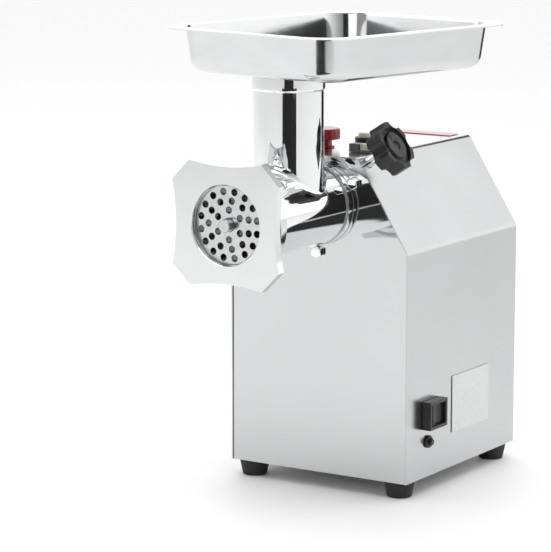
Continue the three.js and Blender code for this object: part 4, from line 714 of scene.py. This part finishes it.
button_red = surface("button red", (0.36, 0.004, 0.01), 0, 0.28, grain=140, tone=0.1, coat=0.25)
button_cream = surface("button cream", (0.78, 0.74, 0.62), 0, 0.32, grain=140, tone=0.05,
                       coat=0.15)
control_black = surface("control black", (0.016, 0.016, 0.017), 0, 0.4, grain=200, tone=0.2,
                        relief=0.00004, relief_scale=1000)
FLUTES, FLUTE_RADIUS, FLUTE_CIRCLE = 20, 0.0009, 0.01435
cap = turned("red_cap", [
    (0.0132, 0.0076), (0.0139, 0.0083), (0.0139, 0.0157), (0.0134, 0.0166), (0.0124, 0.0171),
], stop_at, UP, 120)
for flute in range(FLUTES):
    turn = 2 * pi * flute / FLUTES
    at = stop_at + Vector((cos(turn), sin(turn), 0)) * FLUTE_CIRCLE
    carve(cap, turned("flute", [(FLUTE_RADIUS, 0.006), (FLUTE_RADIUS, 0.0152)], at, UP, 12))
carve(cap, turned("recess", [(0.0072, 0.005), (0.0072, 0.0136)], stop_at, UP, 48))
carve(cap, turned("stem", [(0.0032, -0.007), (0.0032, 0.0146)], stop_at, UP, 32), "UNION")
soften(cap, 0.00025, 2, angle=40, smooth=40)
wear_finish(cap, button_red)
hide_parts("stop_button")
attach(cap, "stop")
collar = turned("red_collar", [
    (0.0036, -0.0076), (0.0068, -0.0076), (0.0068, 0.0003), (0.0092, 0.0003), (0.0092, 0.0011),
    (0.0087, 0.0016), (0.0068, 0.0016), (0.0068, 0.0066), (0.0064, 0.0070), (0.0036, 0.0070),
    (0.0036, -0.0076),
], stop_at, UP, 72, hollow=True)
soften(collar, 0, smooth=35)
wear_finish(collar, button_red)
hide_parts("stop_collar")
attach(collar, "base")
finish_nodes(("stop_spring",), screw_steel)

small_cap = turned("cream_cap", [
    (0.0060, -0.008), (0.0060, 0.0068), (0.0056, 0.0074), (0.0050, 0.0076),
], start_at, UP, 64)
soften(small_cap, 0, smooth=35)
wear_finish(small_cap, button_cream)
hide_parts("start_button")
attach(small_cap, "start")
small_collar = turned("cream_collar", [
    (0.0064, -0.010), (0.0078, -0.010), (0.0078, 0.0003), (0.0090, 0.0003), (0.0090, 0.0030),
    (0.0086, 0.0036), (0.0064, 0.0036), (0.0064, -0.010),
], start_at, UP, 64, hollow=True)
soften(small_collar, 0, smooth=35)
wear_finish(small_collar, control_black)
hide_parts("start_collar")
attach(small_collar, "base")


def rounded_node(name, piece, material, width, body="base"):
    """Copies a node, makes its flat faces whole and rounds its edges."""
    copy = copy_of_node(name, piece)
    bpy.ops.object.mode_set(mode="EDIT")
    bpy.ops.mesh.dissolve_limited(angle_limit=radians(1))
    bpy.ops.object.mode_set(mode="OBJECT")
    soften(copy, width, 3, angle=30)
    wear_finish(copy, material)
    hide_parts(name)
    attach(copy, body)


block_grey = surface("block grey", (0.14, 0.135, 0.14), 0, 0.4, grain=200, tone=0.12,
                     relief=0.00004, relief_scale=1000)
rounded_node("key_block", "dark_block", block_grey, 0.0003)
rounded_node("side_key", "cream_key", button_cream, 0.0004, "key")


# ---- Side switch, reset button and blank rating plate -------------------------------------------
# A rocker in a square black shroud stands low on the right side, over a round reset button.
# The thin plate beside them is left blank.

rounded_node("switch_bezel", "switch_shroud", control_black, 0.0006)
rounded_node("power_rocker", "switch_paddle", knob_black, 0.0005, "rocker")
reset_ring = turned("reset_ring", [
    (0.0033, -0.012), (0.0046, -0.012), (0.0046, 0.0003), (0.0056, 0.0003), (0.0056, 0.0018),
    (0.0050, 0.0026), (0.0033, 0.0026), (0.0033, -0.012),
], reset_at, OUT_X, 48, hollow=True)
soften(reset_ring, 0, smooth=35)
wear_finish(reset_ring, control_black)
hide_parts("reset_collar")
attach(reset_ring, "base")
reset_cap = turned("reset_cap", [
    (0.0029, -0.009), (0.0029, 0.0048), (0.0024, 0.0054),
], reset_at, OUT_X, 40)
soften(reset_cap, 0, smooth=35)
wear_finish(reset_cap, knob_black)
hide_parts("reset_button")
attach(reset_cap, "reset")
label_white = surface("label face", (0.66, 0.665, 0.67), 0.15, 0.42, grain=250, tone=0.04)
rounded_node("rating_plate", "blank_label", label_white, 0.0002)
strip_red = surface("strip red", (0.72, 0.36, 0.38), 0, 0.42, grain=220, tone=0.08)
rounded_node("top_strip", "rear_strip", strip_red, 0.00015)
rounded_node("power_inlet", "inlet_socket", control_black, 0.0003)


# ---- Drive train and motor ----------------------------------------------------------------------
# Behind the nose a geared induction motor turns the screw; all of it is hidden by the housing.
# The gears are cut steel, the motor's cases are cast aluminium and the winding is lacquered copper.

gear_steel = surface("gear steel", (0.42, 0.42, 0.43), 1, 0.35, grain=260, tone=0.1)
finish_nodes((
    "output_bearing_front", "output_bearing_rear", "output_shaft", "output_gear",
    "cluster_pin", "cluster_gear", "motor_rotor", "motor_pinion",
    "motor_bearing_front", "motor_bearing_rear",
), gear_steel)
finish_nodes(("motor_housing", "motor_end_shield"), cast_metal)
lacquered = surface("lacquered copper", (0.38, 0.16, 0.07), 0.8, 0.4, grain=500, tone=0.2)
finish_nodes(("motor_stator",), lacquered)
finish_nodes(("cooling_fan", "capacitor"), control_black)


# ---- Room: floor, camera and lights -------------------------------------------------------------
# A plain pale floor under soft studio light. Dark cards, which the camera does not see, give the
# polish its contrast; they still shade the floor near them.

nothing_selected()
bpy.ops.mesh.primitive_plane_add(size=60, location=(0, 0, 0))
floor = bpy.context.object
floor.name = "floor"
floor_paint = bpy.data.materials.new("floor paint")
floor_paint.use_nodes = True
floor_shader = floor_paint.node_tree.nodes["Principled BSDF"]
floor_shader.inputs["Base Color"].default_value = (0.9, 0.9, 0.9, 1)
floor_shader.inputs["Roughness"].default_value = 0.55
floor.data.materials.append(floor_paint)


def dark_card(name, centre, size, facing, shade):
    """A matt card that shows in reflections and not to the camera."""
    nothing_selected()
    bpy.ops.mesh.primitive_plane_add(size=1, location=centre)
    card = bpy.context.object
    card.name = name
    card.scale = (size[0], size[1], 1)
    card.rotation_mode = "QUATERNION"
    card.rotation_quaternion = (Vector(facing) - Vector(centre)).to_track_quat("Z", "Y")
    material = bpy.data.materials.new(name)
    material.use_nodes = True
    card_shader = material.node_tree.nodes["Principled BSDF"]
    card_shader.inputs["Base Color"].default_value = (shade, shade, shade, 1)
    card_shader.inputs["Roughness"].default_value = 0.9
    card.data.materials.append(material)
    card.visible_camera = False


head_middle = (drive.x, tube_y, 0.6)
dark_card("dark_card_front", (1.62, -2.56, 0.6), (1.5, 2.4), head_middle, 0.004)
dark_card("dark_card_rear", (0.05, 1.7, 0.6), (0.8, 1.6), head_middle, 0.004)
dark_card("dark_card_low", (0.62, -0.98, 0.12), (0.9, 0.24), (drive.x, tube_y, 0.12), 0.004)
dark_card("dark_card_flat", (0.25, -0.95, 0.004), (0.5, 1.0), (0.25, -0.95, 1), 0.01)

CAMERA_LENS, CAMERA_DIP, CAMERA_TURN = 178.8, 10.02, 32.62
camera_data = bpy.data.cameras.new("camera")
camera_data.lens = CAMERA_LENS
camera_data.sensor_width = 36
camera_data.sensor_fit = "HORIZONTAL"
camera_data.clip_end = 30
camera = bpy.data.objects.new("camera", camera_data)
bpy.context.scene.collection.objects.link(camera)
camera.location = (middle_x + 1.23225, panel_front - 1.99329, body_low + 0.58901)
camera.rotation_euler = (radians(90 - CAMERA_DIP), 0, radians(CAMERA_TURN))
bpy.context.scene.camera = camera


def soft_light(name, at, towards, size, power):
    data = bpy.data.lights.new(name, "AREA")
    data.shape = "RECTANGLE"
    data.size, data.size_y = size
    data.energy = power
    lamp = bpy.data.objects.new(name, data)
    bpy.context.scene.collection.objects.link(lamp)
    lamp.location = at
    lamp.rotation_mode = "QUATERNION"
    lamp.rotation_quaternion = (Vector(towards) - Vector(at)).to_track_quat("-Z", "Y")


aim = (0, 0, 0.22)
soft_light("overhead", (0.1, -0.2, 2.2), aim, (2.4, 2.4), 26)
soft_light("left_window", (-2.0, -1.0, 1.3), aim, (1.2, 1.4), 7)
soft_light("front_fill", (0.4, -2.6, 1.4), aim, (1.6, 1.0), 8)

world = bpy.data.worlds.new("studio")
world.use_nodes = True
sky_nodes, sky_links = world.node_tree.nodes, world.node_tree.links
background = sky_nodes["Background"]
background.inputs["Color"].default_value = (1, 1, 1, 1)
direction = sky_nodes.new("ShaderNodeTexCoord")
parts = sky_nodes.new("ShaderNodeSeparateXYZ")
brightness = sky_nodes.new("ShaderNodeMapRange")
brightness.inputs["From Min"].default_value = -0.6
brightness.inputs["From Max"].default_value = 0.5
brightness.inputs["To Min"].default_value = 0.4
brightness.inputs["To Max"].default_value = 1.45
sky_links.new(direction.outputs["Generated"], parts.inputs["Vector"])
sky_links.new(parts.outputs["Y"], brightness.inputs["Value"])
sky_links.new(brightness.outputs["Result"], background.inputs["Strength"])
bpy.context.scene.world = world
bpy.context.scene.view_settings.view_transform = "Standard"
